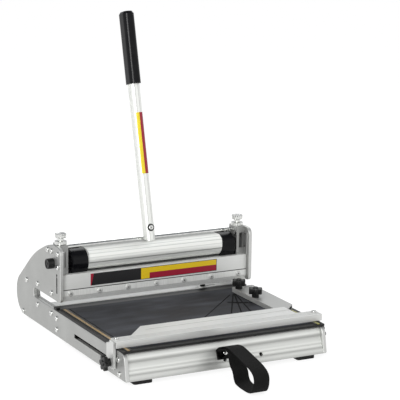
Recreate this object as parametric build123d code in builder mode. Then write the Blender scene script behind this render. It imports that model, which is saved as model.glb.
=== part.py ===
from build123d import *
from math import cos, hypot, pi, radians, sin, sqrt, tan
import os

os.makedirs("parts", exist_ok=True)

# Bench cutter for laminate planks, in millimetres.
# X runs along the blade, Y backwards and Z up from the floor.
# The origin is the middle of the floor rectangle that the tool covers, strap included.
# Places along Y are measured from the side plates' front foot, places along Z from the floor.

# Whole tool
cut_width = 340  # clear width between the side plates
tower_front = 249
throat_depth = 112
heel_depth = 76  # from the throat's end
plate_thickness = 6
edge_break = 0.7  # chamfer along the edges of plates and bars
foot_height = 8
arm_height = 42.4  # side plates' lower arm, which carries the table board
throat_height = 16.3
plank_gap = 11  # between the raised blade and the mat
tower_rise = 30.5  # tower's top above the roller's axis
strap_reach = 118  # how far the carry strap lies in front of the plates
overrun = 1  # how far cuts run past a face

# Side plates' outline, as shares of the lower arm's height and of the tower's depth and rise
nose_share = 0.19
brow_share = 0.229
shoulder_share = 0.586
shoulder_rise_share = 0.66
heel_rise_share = 0.36
plate_round_shares = (0.06, 0.24, 0.3, 0.3, 0.07, 0.28, 0.6, 0.38, 0.3, 0.64)

# Clearances
slide_gap = 0.3  # between pieces that move past each other
running_gap = 0.08  # shaft in its bearing, on the radius
push_gap = 0.05  # piece pushed into its seat, on the radius

# Lever and roller
lever_lean = 14.6  # backwards from upright, in degrees
lever_length = 402
lever_travel = 100  # in degrees
cam_low = 14  # roller's support height under its axis at rest
cam_top = 21
cam_back = 17
cam_lead = 15  # outline past both ends of the lever's travel, in degrees
cam_steps = 10
cam_ridge_share = 0.62
cam_crown_share = 0.5
cam_corner_share = 0.45
cam_heel_share = 0.5
cam_groove_shares = (-0.35, 0, 0.3)
axle_radius = 6
drum_gap = 0.7  # between the drums and the beam
drum_length = 28
drum_collar = 4.7
tube_width = 17
tube_depth = 20
tube_wall = 2
tube_corner = 7
tube_inset = 6  # tube's end under the grip's cap
tube_groove_shares = (-0.12, 0.12)
handle_screw_up = 41  # screw above the roller's axis
grip_width = 20
grip_depth = 30
grip_corner = 9
grip_length = 121
grip_cap_height = 4
finger_count = 4
finger_radius = 19
finger_dip = 2.4
stop_rod_radius = 6
stop_rod_rise = 17.9  # rod above the roller's axis
axle_cap_radius = 8.5
axle_cap_height = 5

# Blade beam
beam_setback = 8  # beam's face behind the tower's front
beam_height = 25
beam_box_height = 19.5
beam_wall_depth = 7.7
beam_box_depth = 25
beam_skin = 2.6
beam_skirt = 13  # how far the wall reaches down behind the blade
blade_thickness = 3.2
blade_height = 20
blade_bevel = 9
blade_screw_rise = 13
blade_screw_count = 7
blade_screw_inset = 15.6
pin_radius = 1.2
pin_inset = 5.9  # behind the beam's face
pin_drop = 3.5  # guide pin under the beam's top
pin_slot_spare = 6  # slot below the pin's lowest place
core_drop = 8.3  # hollow in the front wall, under the beam's top
shoe_height = 13.5
strip_width = 24  # wear strip on the beam
strip_thickness = 7.3

# Guide channels in the towers
channel_width = 27
channel_depth = 15
channel_wall = 3
channel_lift = 1.3  # above the throat's roof
channel_floor = 3.5
channel_cap = 8
channel_ear = 13
channel_screw_inset = 8
channel_screw_rise = 7.7
channel_screw_drop = 3.5
ear_screw_share = 0.65
bearing_height = 24.5
spring_radius = 4.6
spring_wire = 1.6
spring_turns = 6
coil_samples = 240  # points that measure the gap between turns

# Pressure adjusters on the towers
adjuster_shank = 4
adjuster_head_radius = 9.25
adjuster_head_height = 8
adjuster_neck_radius = 5
adjuster_neck_height = 4
adjuster_inset = 7.5  # adjuster axis, inwards from the side plate
lock_nut_radius = 10
lock_nut_height = 4.8
knurl_count = 16
knurl_depth = 0.5

# Table
board_thickness = 3.6
board_front = 10
mat_thickness = 1
mat_margin = 12  # mat edge, inwards from the side plates
mat_inset = 12  # mat edge, behind the board's front
anvil_width = 10
anvil_thickness = 3
ruler_width = 10
ruler_thickness = 0.7
ruler_inset = 2
mark_width = 1
mark_depth = 0.5
mark_length = 100
mark_angles = (15, 22.5, 30, 45)

# Cross members
extrusion_depth = 38
extrusion_lean = 18  # how far its face leans back over its height
extrusion_shoulder = 3.4  # height of its square top edge
extrusion_wall = 2.5
flute_depth = 1
flute_width = 2
flute_shares = (0.22, 0.36, 0.66)
extrusion_round_shares = (0.06, 0.3, 0.3, 0.06, 0.06)
boss_shares = ((0.72, 0.68), (0.62, 0.16))  # of the extrusion's depth and height
drain_share = 0.32  # height of the two small holes in the face
drain_spacing = 64
anvil_beam_inset = 10.2  # beam's front, before the blade's back
anvil_beam_depth = 26
anvil_beam_height = 38.4
anvil_beam_wall = 3
anvil_boss_shares = (0.2, 0.68)
tie_depth = 22
tie_height = 11
tie_inset = 19  # before the heel
boss_radius = 4.2

# Throat doublers
doubler_thickness = 6
doubler_drop = 18
doubler_rise = 17
doubler_behind = 37
doubler_gap = 2  # behind the anvil beam
doubler_round_shares = (0.3, 0.2, 0.2, 0.3, 0.1, 0.3, 0.3, 0.1)
doubler_screw_shares = (0.8, 0.3, 0.6, 0.52, 0.45)

# Screws
screw_radius = 2
screw_head_radius = 4.4
screw_head_height = 2.2
screw_taper = 35
screw_grip = 2.8  # how far a side screw reaches into the piece behind the plate

# Feet
foot_width = 32
foot_depth = 22
foot_inset = 27
foot_corner = 4

# Fence
fence_lap = 13  # fence's front, before the extrusion's back
fence_ledge = 22
fence_flange = 38
fence_thickness = 2.4
fence_overhang = 10  # past the plates' inner faces
flange_left_inset = 24
flange_right_inset = 25
fence_cut = 34
rib_left_inset = 40
rib_right_inset = 50
rib_thickness = 6
ridge_width = 1.5
ridge_depth = 0.6
ridge_count = 3
bracket_lap = 5  # bracket's front, before the extrusion's back
bracket_length = 25
bracket_pad = 14  # length of the part under the fence's ledge
bracket_leg = 4
bracket_arm = 1.7
bracket_drop = 8.5  # under the stud's axis
bracket_out = 12  # outer face, outwards from the plate's inner face
bracket_gap = 1.4  # inner face, outwards from the plate's inner face
fence_screw_inset = 6
slot_rise = 20.5  # slot above the plate's foot
slot_length = 148
stud_radius = 3
nut_size = 10
nut_thickness = 4

# Clamp knobs
side_knob_radius = 12.5
side_knob_height = 12
top_knob_radius = 12
top_knob_height = 9
small_knob_radius = 9
small_knob_height = 8
collar_height = 6
collar_share = 0.5
lobe_count = 6
lobe_share = 0.28

# Angle guide
guide_width = 40
guide_height = 8
guide_wall = 1.6
guide_round = 0.8
guide_setback = 17  # guide's back, before the tower
pivot_inset = 6  # from the guide's left side
pivot_setback = 12
clamp_reach = 57  # clamp knob, in front of the pivot
guide_swing = 45  # in degrees
guide_reach = 159  # pivot to the point of the mitred end
guide_nut = 5

# Rear stop
stop_inset = 74
stop_length = 60
stop_width = 14
stop_thickness = 5.3
stop_round = 3
stop_stud_inset = 5
stop_travel = 20
ledge_inset = 10  # ledge's right end, inwards from the side plate
ledge_length = 75
ledge_width = 16
ledge_drop = 14
ledge_thickness = 3

# Carry strap
strap_width = 26
strap_thickness = 1.8
strap_x = -5
strap_hold_shares = (0.34, 0.78)  # strap's hold on the extrusion's face
strap_hump = 1.2  # loop's top above the plates' arm
strap_round_share = 0.42
strap_shares = (
    (0.17, 1.0),
    (0.44, 0.91),
    (0.85, 0.76),
    (1.0, 0.59),
    (1.0, 0.22),
    (0.91, 0.0),
    (0.51, 0.0),
    (0.43, 0.12),
    (0.39, 0.33),
    (0.28, 0.49),
    (0.23, 0.91),
)  # of the strap's reach and rise
tab_share = 0.8
strap_screw_head = 3.8
strap_screw_height = 1.6
strap_screw_length = 8

# Worked-out places along Y
throat_end = tower_front + throat_depth
plate_length = throat_end + heel_depth
front_y = (strap_reach - plate_length) / 2
beam_face = tower_front + beam_setback
blade_back = beam_face + blade_thickness
pin_y = beam_face + pin_inset
wall_back = beam_face + beam_wall_depth
channel_front = wall_back + slide_gap
axis_y = channel_front + channel_width / 2
channel_back = channel_front + channel_width
anvil_y = blade_back
anvil_front = anvil_y - anvil_width / 2
anvil_back = anvil_y + anvil_width / 2
anvil_beam_front = blade_back - anvil_beam_inset
anvil_beam_back = anvil_beam_front + anvil_beam_depth
tie_y = plate_length - tie_inset - tie_depth / 2
fence_front = extrusion_depth - fence_lap
bracket_front = extrusion_depth - bracket_lap
stud_y = bracket_front + bracket_length / 2
guide_back = tower_front - guide_setback
pivot_y = guide_back - pivot_setback
clamp_y = pivot_y - clamp_reach

# Worked-out places along Z
table_edge = foot_height + arm_height
throat_roof = table_edge + throat_height
board_top = table_edge + board_thickness
mat_top = board_top + mat_thickness
blade_edge_z = mat_top + plank_gap
cam_rise = plank_gap - slide_gap  # how much the roller's support grows over the lever's travel
beam_bottom = blade_edge_z + blade_height
beam_shelf = beam_bottom + beam_box_height
beam_top = beam_bottom + beam_height
strip_top = beam_shelf + strip_thickness
axis_z = strip_top + slide_gap + cam_low
tower_height = axis_z + tower_rise
stop_rod_z = axis_z + stop_rod_rise
blade_screw_z = blade_edge_z + blade_screw_rise
channel_bottom = throat_roof + channel_lift
slot_z = foot_height + slot_rise
guide_bottom = mat_top + slide_gap
guide_top = guide_bottom + guide_height
fence_under = guide_top + slide_gap
fence_top = fence_under + fence_thickness
arm_bottom = mat_top + slide_gap
bracket_top = arm_bottom + bracket_arm

# Worked-out places along X
half_cut = cut_width / 2
foot_x = half_cut - foot_inset
guide_left = half_cut - guide_width
pivot_x = guide_left + pivot_inset
fence_half = half_cut + fence_overhang
fence_left = half_cut - flange_left_inset
fence_right = half_cut - flange_right_inset
rib_left = half_cut - rib_left_inset
rib_right = half_cut - rib_right_inset
stop_left = half_cut - stop_inset
stop_stud_x = stop_left + stop_stud_inset
ledge_left = half_cut - ledge_inset - ledge_length
channel_slot = channel_width - 2 * channel_wall
channel_inner = half_cut - channel_depth
box_half = channel_inner - 2 * slide_gap
cam_half = channel_inner - slide_gap - drum_collar - drum_length
spring_x = half_cut - (channel_depth + channel_wall) / 2
bracket_inner = half_cut + bracket_gap
drum_radius = min(hypot(axis_y - wall_back, axis_z - beam_top), axis_z - beam_shelf) - drum_gap

# Lever, stop rod and leaning face
tube_start = axle_radius + tube_wall
stop_rod_y = axis_y + (
    tube_depth / 2
    + stop_rod_radius
    + slide_gap
    + (stop_rod_z - axis_z) * sin(radians(lever_lean))
) / cos(radians(lever_lean))
face_height = arm_height - extrusion_shoulder
strap_rise = table_edge + strap_hump
strap_low, strap_high = (foot_height + share * face_height for share in strap_hold_shares)


# Plane seen from the right: first axis backwards, second axis up
def side_view(x):
    return Plane(origin=(x, front_y, 0), x_dir=(0, 1, 0), z_dir=(1, 0, 0))


# Plane seen from above: first axis to the right, second axis backwards
def top_view(z):
    return Plane(origin=(0, front_y, z), x_dir=(1, 0, 0), z_dir=(0, 0, 1))


# Plane seen from the front: first axis to the right, second axis up
def front_view(y):
    return Plane(origin=(0, front_y + y, 0), x_dir=(1, 0, 0), z_dir=(0, -1, 0))


# Place on the extrusion's leaning face at a height
def face_y(z):
    return extrusion_lean * (z - foot_height) / face_height


# Radius at each corner that uses the given share of the shorter side beside it
def corner_radii(points, shares):
    radii = []
    for i, share in enumerate(shares):
        here = Vector(*points[i])
        arriving = here - Vector(*points[i - 1])
        leaving = Vector(*points[(i + 1) % len(points)]) - here
        turn = arriving.get_angle(leaving)
        reach = share * min(arriving.length, leaving.length)
        radii.append(reach / tan(radians(turn) / 2))
    return radii


# Closed outline with rounded corners, filled
def rounded_face(points, shares):
    with BuildLine() as outline:
        FilletPolyline(*points, radius=corner_radii(points, shares), close=True)
    make_face(outline.edges())


# Label a finished piece and write its file
def save(piece, name):
    piece.part.label = name
    export_step(piece.part, f"parts/{name}.step")
    print(name, "solids", len(piece.part.solids()), "volume", round(piece.part.volume))


# Pan head with a shank behind it, standing on a plane that faces outwards
def pan_screw(plane, head_radius, head_height, shank_radius, shank_length):
    with BuildSketch(plane) as head:
        Circle(head_radius)
    extrude(head.sketch, amount=head_height, taper=screw_taper)
    with BuildSketch(plane) as shank:
        Circle(shank_radius)
    extrude(shank.sketch, amount=-shank_length)


# Lobed knob on a collar, with its stud below the plane
def lobed_knob(plane, radius, height, stud_length):
    lobe = lobe_share * radius
    with BuildSketch(plane) as collar:
        Circle(collar_share * radius)
    extrude(collar.sketch, amount=collar_height)
    with BuildSketch(plane.offset(collar_height)) as body:
        Circle(radius - lobe)
        with PolarLocations(radius - lobe, lobe_count):
            Circle(lobe)
    extrude(body.sketch, amount=height)
    with BuildSketch(plane.offset(collar_height + height)) as crown:
        Circle(radius - 2 * lobe)
    extrude(crown.sketch, amount=lobe / 2, taper=screw_taper)
    with BuildSketch(plane) as stud:
        Circle(stud_radius)
    extrude(stud.sketch, amount=-stud_length)


# Centre line of a coil about an upright axis: two tangent arcs to each half turn
def coil_points(foot, radius, height, turns):
    climb = height / (2 * pi * turns)
    half_turns = []
    for i in range(2 * turns):
        side = 1 - 2 * (i % 2)
        start = foot + Vector(side * radius, 0, i * pi * climb)
        end = foot + Vector(-side * radius, 0, (i + 1) * pi * climb)
        leaving = Vector(0, side * radius, climb).normalized()
        arriving = Vector(0, -side * radius, climb).normalized()
        chord = end - start
        along = chord.dot(leaving + arriving)
        spread = 2 * (1 - leaving.dot(arriving))
        reach = (sqrt(along**2 + spread * chord.dot(chord)) - along) / spread
        middle = (start + end + (leaving - arriving) * reach) / 2
        half_turns.append((start, middle, end, leaving))
    return half_turns


# Side plates: lower arm, throat that opens forwards, and tower that carries the lever
heel = plate_length - tower_front
rise = tower_height - throat_roof
plate_points = (
    (0, foot_height),
    (nose_share * arm_height, table_edge),
    (throat_end, table_edge),
    (throat_end, throat_roof),
    (tower_front, throat_roof),
    (tower_front, tower_height),
    (tower_front + brow_share * heel, tower_height),
    (tower_front + shoulder_share * heel, throat_roof + shoulder_rise_share * rise),
    (plate_length, foot_height + heel_rise_share * (tower_height - foot_height)),
    (plate_length, foot_height),
)

# Screws that hold each piece to the side plates, as places along Y and Z
boss_places = tuple(
    (back * extrusion_depth, foot_height + up * arm_height) for back, up in boss_shares
)
anvil_boss_places = tuple(
    (
        anvil_beam_front + anvil_beam_depth / 2,
        table_edge - (1 - share) * anvil_beam_height,
    )
    for share in anvil_boss_shares
)
behind_share, behind_rise_share, roof_share, floor_share, front_share = doubler_screw_shares
doubler_start = anvil_beam_back + doubler_gap
doubler_places = (
    (throat_end + behind_share * doubler_behind, throat_roof + behind_rise_share * doubler_rise),
    (throat_end - doubler_drop, throat_roof + roof_share * doubler_rise),
    (throat_end - doubler_drop, table_edge - floor_share * doubler_drop),
    (doubler_start + front_share * doubler_drop, table_edge - floor_share * doubler_drop),
)
ear_top = tower_height - channel_cap
ear_bottom = beam_top + 2 * slide_gap
ear_y = channel_front - channel_ear / 2
channel_places = (
    (channel_back - channel_screw_inset, channel_bottom + channel_screw_rise),
    (channel_back - channel_screw_inset, ear_top - channel_screw_drop),
    (ear_y, ear_top - channel_screw_drop),
    (ear_y, ear_top - ear_screw_share * (ear_top - ear_bottom)),
)
tie_place = (tie_y, foot_height + tie_height / 2)
rod_place = (stop_rod_y, stop_rod_z)
screw_places = (
    *boss_places,
    *anvil_boss_places,
    *doubler_places,
    *channel_places,
    tie_place,
    rod_place,
)

pin_slot_top = beam_top + pin_radius + slide_gap
pin_slot_bottom = beam_top - pin_drop - cam_rise - pin_slot_spare
for side, hand in ((-1, "left"), (1, "right")):
    with BuildPart() as side_plate:
        with BuildSketch(side_view(side * half_cut)):
            rounded_face(plate_points, plate_round_shares)
            with Locations(*screw_places):
                Circle(screw_radius + push_gap, mode=Mode.SUBTRACT)
            with Locations((axis_y, axis_z)):
                Circle(axle_radius + slide_gap, mode=Mode.SUBTRACT)
            with Locations((pin_y, (pin_slot_top + pin_slot_bottom) / 2)):
                SlotOverall(
                    pin_slot_top - pin_slot_bottom,
                    2 * (pin_radius + slide_gap),
                    rotation=90,
                    mode=Mode.SUBTRACT,
                )
            stud_hole = stud_radius + slide_gap
            with Locations((stud_y - stud_hole + slot_length / 2, slot_z)):
                SlotOverall(slot_length, 2 * stud_hole, mode=Mode.SUBTRACT)
        extrude(amount=side * plate_thickness)
        plate_faces = side_plate.faces().sort_by(Axis.X)
        chamfer(
            plate_faces[0].outer_wire().edges() + plate_faces[-1].outer_wire().edges(), edge_break
        )
    save(side_plate, f"side_plate_{hand}")

    # Doubler that stiffens the plate round the throat's end
    doubler_points = (
        (doubler_start, table_edge - doubler_drop),
        (throat_end + doubler_behind, table_edge - doubler_drop),
        (throat_end + doubler_behind, throat_roof + doubler_rise),
        (channel_back + slide_gap, throat_roof + doubler_rise),
        (channel_back + slide_gap, throat_roof),
        (throat_end, throat_roof),
        (throat_end, table_edge),
        (doubler_start, table_edge),
    )
    with BuildPart() as doubler:
        with BuildSketch(side_view(side * half_cut)):
            rounded_face(doubler_points, doubler_round_shares)
            with Locations(*doubler_places):
                Circle(screw_radius + push_gap, mode=Mode.SUBTRACT)
        extrude(amount=-side * doubler_thickness)
        inner_face = doubler.faces().sort_by(Axis.X)[-1 if side < 0 else 0]
        chamfer(inner_face.outer_wire().edges(), edge_break)
    save(doubler, f"throat_doubler_{hand}")

    # Screws through the plate into everything it carries
    with BuildPart() as side_screws:
        outer = side_view(side * (half_cut + plate_thickness))
        for place_y, place_z in screw_places:
            spot = Plane(
                origin=outer.from_local_coords((place_y, place_z, 0)),
                x_dir=(0, 1, 0),
                z_dir=(side, 0, 0),
            )
            pan_screw(
                spot,
                screw_head_radius,
                screw_head_height,
                screw_radius,
                plate_thickness + screw_grip,
            )
    save(side_screws, f"side_screws_{hand}")

# Front extrusion: hollow, with a fluted face that leans back and screw ports inside
extrusion_points = (
    (0, foot_height),
    (extrusion_lean, foot_height + face_height),
    (extrusion_lean + extrusion_wall, table_edge),
    (extrusion_depth, table_edge),
    (extrusion_depth, foot_height),
)
face_angle = 90 - Vector(extrusion_lean, face_height).get_angle(Vector(0, face_height))
with BuildPart() as front_extrusion:
    with BuildSketch(side_view(-half_cut)):
        rounded_face(extrusion_points, extrusion_round_shares)
        offset(amount=-extrusion_wall, mode=Mode.SUBTRACT)
        with Locations(*boss_places):
            Circle(boss_radius)
        for place_y, place_z in boss_places:
            with Locations(((place_y + extrusion_depth) / 2, place_z)):
                Rectangle(extrusion_depth - place_y, extrusion_wall)
        with Locations(*boss_places):
            Circle(screw_radius + push_gap, mode=Mode.SUBTRACT)
        for share in flute_shares:
            flute_z = foot_height + share * face_height
            with Locations((face_y(flute_z), flute_z)):
                Rectangle(flute_width, 2 * flute_depth, rotation=face_angle, mode=Mode.SUBTRACT)
    extrude(amount=cut_width)
    strap_hold_z = (strap_low + strap_high) / 2
    drain_z = foot_height + drain_share * face_height
    with BuildSketch(front_view(0)):
        with Locations((strap_x, drain_z), (strap_x + drain_spacing, drain_z)):
            Circle(stud_radius)
    extrude(amount=-(face_y(drain_z) + 2 * extrusion_wall), mode=Mode.SUBTRACT)
    face_plane = Plane(
        origin=(strap_x, front_y + face_y(strap_hold_z), strap_hold_z),
        x_dir=(1, 0, 0),
        z_dir=(0, -face_height, extrusion_lean),
    )
    with BuildSketch(face_plane):
        Circle(screw_radius + push_gap)
    extrude(amount=-strap_screw_length, mode=Mode.SUBTRACT)
save(front_extrusion, "front_extrusion")

# Anvil beam under the blade line: hollow, with two screw ports
with BuildPart() as anvil_beam:
    beam_centre = (
        anvil_beam_front + anvil_beam_depth / 2,
        table_edge - anvil_beam_height / 2,
    )
    with BuildSketch(side_view(-half_cut)):
        with Locations(beam_centre):
            Rectangle(anvil_beam_depth, anvil_beam_height)
            Rectangle(
                anvil_beam_depth - 2 * anvil_beam_wall,
                anvil_beam_height - 2 * anvil_beam_wall,
                mode=Mode.SUBTRACT,
            )
        for place in anvil_boss_places:
            with Locations(place):
                Rectangle(anvil_beam_depth - anvil_beam_wall, anvil_beam_wall)
                Circle(boss_radius)
                Circle(screw_radius + push_gap, mode=Mode.SUBTRACT)
    extrude(amount=cut_width)
save(anvil_beam, "anvil_beam")

# Low tie bar between the heels of the plates
with BuildPart() as rear_tie:
    with BuildSketch(side_view(-half_cut)):
        with Locations(tie_place):
            RectangleRounded(tie_depth, tie_height, edge_break)
            Circle(screw_radius + push_gap, mode=Mode.SUBTRACT)
    extrude(amount=cut_width)
save(rear_tie, "rear_tie")

# Round rod behind the lever, which stops it when it is raised
with BuildPart() as stop_rod:
    with BuildSketch(side_view(-half_cut)):
        with Locations(rod_place):
            Circle(stop_rod_radius)
            Circle(screw_radius + push_gap, mode=Mode.SUBTRACT)
    extrude(amount=cut_width)
save(stop_rod, "stop_rod")

# Four rubber feet, under the front extrusion and under the tie bar
with BuildPart() as rubber_feet:
    with BuildSketch(top_view(0)):
        with Locations(
            *(
                (side * foot_x, y)
                for side in (-1, 1)
                for y in (extrusion_depth / 2, tie_y)
            )
        ):
            RectangleRounded(foot_width, foot_depth, foot_corner)
    extrude(amount=foot_height)
    chamfer(rubber_feet.faces().group_by(Axis.Z)[0].edges(), edge_break)
save(rubber_feet, "rubber_feet")

# Table board: plate-wide, with a groove for the anvil strip and a raised back edge
clamp_path = Edge.make_circle(
    clamp_reach,
    Plane(origin=(pivot_x, pivot_y, 0)),
    start_angle=270 - guide_swing,
    end_angle=270,
)
with BuildPart() as table_board:
    board_half = half_cut + plate_thickness
    with BuildSketch(side_view(-board_half)):
        with BuildLine():
            Polyline(
                (board_front, table_edge),
                (board_front, board_top),
                (anvil_front, board_top),
                (anvil_front, mat_top - anvil_thickness),
                (anvil_back, mat_top - anvil_thickness),
                (anvil_back, mat_top),
                (anvil_beam_back, mat_top),
                (anvil_beam_back, table_edge),
                close=True,
            )
        make_face()
    extrude(amount=2 * board_half)
    with BuildSketch(top_view(table_edge)):
        with Locations((pivot_x, pivot_y)):
            Circle(stud_radius + slide_gap)
        SlotArc(clamp_path, 2 * (stud_radius + slide_gap))
    extrude(amount=board_thickness, mode=Mode.SUBTRACT)
save(table_board, "table_board")

# Rubber cutting mat with the angle lines of the guide cut into it
with BuildPart() as cutting_mat:
    mat_half = half_cut - mat_margin
    mat_front = board_front + mat_inset
    mat_back = anvil_front - slide_gap
    with BuildSketch(top_view(board_top)):
        with Locations((0, (mat_front + mat_back) / 2)):
            Rectangle(2 * mat_half, mat_back - mat_front)
        with Locations((pivot_x, pivot_y)):
            Circle(stud_radius + slide_gap, mode=Mode.SUBTRACT)
        SlotArc(clamp_path, 2 * (stud_radius + slide_gap), mode=Mode.SUBTRACT)
    extrude(amount=mat_thickness)
    fan_y = pivot_y + pivot_inset
    with BuildSketch(top_view(mat_top)):
        for angle in mark_angles:
            start = pivot_inset + 2 * stud_radius
            middle = start + mark_length / 2
            lean = radians(angle)
            with Locations((pivot_x - middle * sin(lean), fan_y - middle * cos(lean))):
                Rectangle(mark_width, mark_length, rotation=-angle)
    extrude(amount=-mark_depth, mode=Mode.SUBTRACT)
save(cutting_mat, "cutting_mat")

# Hard strip that the blade closes on
with BuildPart() as anvil_strip:
    with BuildSketch(top_view(mat_top)):
        with Locations((0, anvil_y)):
            Rectangle(cut_width - 2 * slide_gap, anvil_width - 2 * push_gap)
    extrude(amount=-anvil_thickness)
save(anvil_strip, "anvil_strip")

# Ruler strips along both sides of the table
for side, hand in ((-1, "left"), (1, "right")):
    with BuildPart() as ruler_strip:
        ruler_front = board_front + ruler_inset
        ruler_back = anvil_front - slide_gap
        with BuildSketch(top_view(board_top)):
            with Locations(
                (side * (half_cut - ruler_width / 2), (ruler_front + ruler_back) / 2)
            ):
                Rectangle(ruler_width, ruler_back - ruler_front)
        extrude(amount=ruler_thickness)
    save(ruler_strip, f"ruler_strip_{hand}")

# Guide channels, bearing blocks, return springs and pressure adjusters in the towers
channel_top = tower_height + slide_gap
adjuster_x = half_cut - adjuster_inset
shoe_top = beam_top - slide_gap
shoe_bottom = shoe_top - shoe_height
spring_bottom = channel_bottom + channel_floor
for side, hand in ((-1, "left"), (1, "right")):
    with BuildPart() as guide_channel:
        with BuildSketch(top_view(channel_bottom)):
            with Locations((side * (half_cut - channel_depth / 2), axis_y)):
                Rectangle(channel_depth, channel_width)
            with Locations((side * (half_cut - (channel_depth + channel_wall) / 2), axis_y)):
                Rectangle(channel_depth - channel_wall, channel_slot, mode=Mode.SUBTRACT)
        extrude(amount=channel_top - channel_bottom)
        with BuildSketch(top_view(channel_bottom)):
            with Locations((side * (half_cut - channel_depth / 2), axis_y)):
                Rectangle(channel_depth, channel_width)
        extrude(amount=channel_floor)
        with BuildSketch(top_view(channel_top)):
            with Locations((side * (half_cut - channel_depth / 2), axis_y)):
                Rectangle(channel_depth, channel_width)
        extrude(amount=-channel_cap)
        with BuildSketch(side_view(side * half_cut)):
            with Locations((ear_y + channel_wall / 2, (ear_top + ear_bottom) / 2)):
                Rectangle(channel_ear + channel_wall, ear_top - ear_bottom)
        extrude(amount=-side * channel_wall)
        with BuildSketch(side_view(side * half_cut)):
            with Locations((axis_y, axis_z)):
                Circle(axle_radius + slide_gap)
            with Locations(*channel_places):
                Circle(screw_radius + push_gap)
        extrude(amount=-side * channel_wall, mode=Mode.SUBTRACT)
        with BuildSketch(top_view(channel_top)):
            with Locations((side * adjuster_x, axis_y)):
                Circle(adjuster_shank + running_gap)
        extrude(amount=-channel_cap, mode=Mode.SUBTRACT)
    save(guide_channel, f"guide_channel_{hand}")

    # Block that the axle turns in
    with BuildPart() as bearing_block:
        block_inner = channel_inner + slide_gap
        block_depth = channel_depth - channel_wall - 2 * slide_gap
        with BuildSketch(side_view(side * block_inner)):
            with Locations((axis_y, axis_z)):
                Rectangle(channel_slot - 2 * push_gap, bearing_height)
                Circle(axle_radius + running_gap, mode=Mode.SUBTRACT)
        extrude(amount=side * block_depth)
    save(bearing_block, f"bearing_block_{hand}")

    # Compression spring that lifts the beam
    with BuildPart() as return_spring:
        coil_bottom = spring_bottom + spring_wire / 2 + slide_gap
        coil_height = shoe_bottom - slide_gap - spring_wire / 2 - coil_bottom
        coil_foot = Vector(side * spring_x, front_y + axis_y, coil_bottom)
        with BuildLine() as coil:
            for start, middle, end, leaving in coil_points(
                coil_foot, spring_radius, coil_height, spring_turns
            ):
                first_arc = TangentArc(start, middle, tangent=leaving)
                TangentArc(middle, end, tangent=first_arc % 1)
        with BuildSketch(Plane(origin=coil.wire() @ 0, z_dir=coil.wire() % 0)):
            Circle(spring_wire / 2)
        sweep(path=coil.wire())
    save(return_spring, f"return_spring_{hand}")

    # Least gap between neighbouring turns of the spring, from points a turn apart
    coil_marks = [coil.wire() @ (i / coil_samples) for i in range(coil_samples + 1)]
    turn_marks = coil_samples // spring_turns
    turn_gap = min(
        (coil_marks[i] - coil_marks[j]).length - spring_wire
        for i in range(coil_samples + 1)
        for j in range(i + turn_marks // 2, coil_samples + 1)
    )
    print("return_spring least gap to itself", round(turn_gap, 2))

    # Knurled screw that presses on the bearing block
    with BuildPart() as adjuster:
        neck_z = channel_top + lock_nut_height + 2 * slide_gap
        shank_end = axis_z + bearing_height / 2 + slide_gap
        with BuildSketch(top_view(shank_end)):
            with Locations((side * adjuster_x, axis_y)):
                Circle(adjuster_shank)
        extrude(amount=neck_z - shank_end)
        with BuildSketch(top_view(neck_z)):
            with Locations((side * adjuster_x, axis_y)):
                Circle(adjuster_neck_radius)
        extrude(amount=adjuster_neck_height)
        with BuildSketch(top_view(neck_z + adjuster_neck_height)):
            with Locations((side * adjuster_x, axis_y)):
                Circle(adjuster_head_radius)
                with PolarLocations(adjuster_head_radius, knurl_count):
                    Rectangle(2 * knurl_depth, 2 * knurl_depth, rotation=45, mode=Mode.SUBTRACT)
        extrude(amount=adjuster_head_height)
    save(adjuster, f"adjuster_{hand}")

    # Nut that locks the adjuster on the tower
    with BuildPart() as lock_nut:
        with BuildSketch(top_view(channel_top + slide_gap)):
            with Locations((side * adjuster_x, axis_y)):
                Circle(lock_nut_radius)
                with PolarLocations(lock_nut_radius, knurl_count):
                    Rectangle(2 * knurl_depth, 2 * knurl_depth, rotation=45, mode=Mode.SUBTRACT)
                Circle(adjuster_shank + running_gap, mode=Mode.SUBTRACT)
        extrude(amount=lock_nut_height)
    save(lock_nut, f"lock_nut_{hand}")

    # Cap over the axle's end, outside the plate
    with BuildPart() as axle_cap:
        with BuildSketch(side_view(side * (half_cut + plate_thickness))):
            with Locations((axis_y, axis_z)):
                Circle(axle_cap_radius)
        extrude(amount=side * axle_cap_height)
        chamfer(
            axle_cap.faces().sort_by(Axis.X)[-1 if side > 0 else 0].edges(),
            axle_cap_height / 4,
        )
    save(axle_cap, f"axle_cap_{hand}")

# Roller: the outline's lower front is an involute, so the beam's travel keeps pace with the lever
cam_pitch = cam_rise / radians(lever_travel)


# Point of the roller's outline that bears on the beam when the lever has turned by an angle
def cam_point(angle):
    reach = cam_low + cam_pitch * radians(angle)
    facing = radians(270 - angle)
    return (
        axis_y + reach * cos(facing) + cam_pitch * sin(facing),
        axis_z + reach * sin(facing) - cam_pitch * cos(facing),
    )


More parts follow.
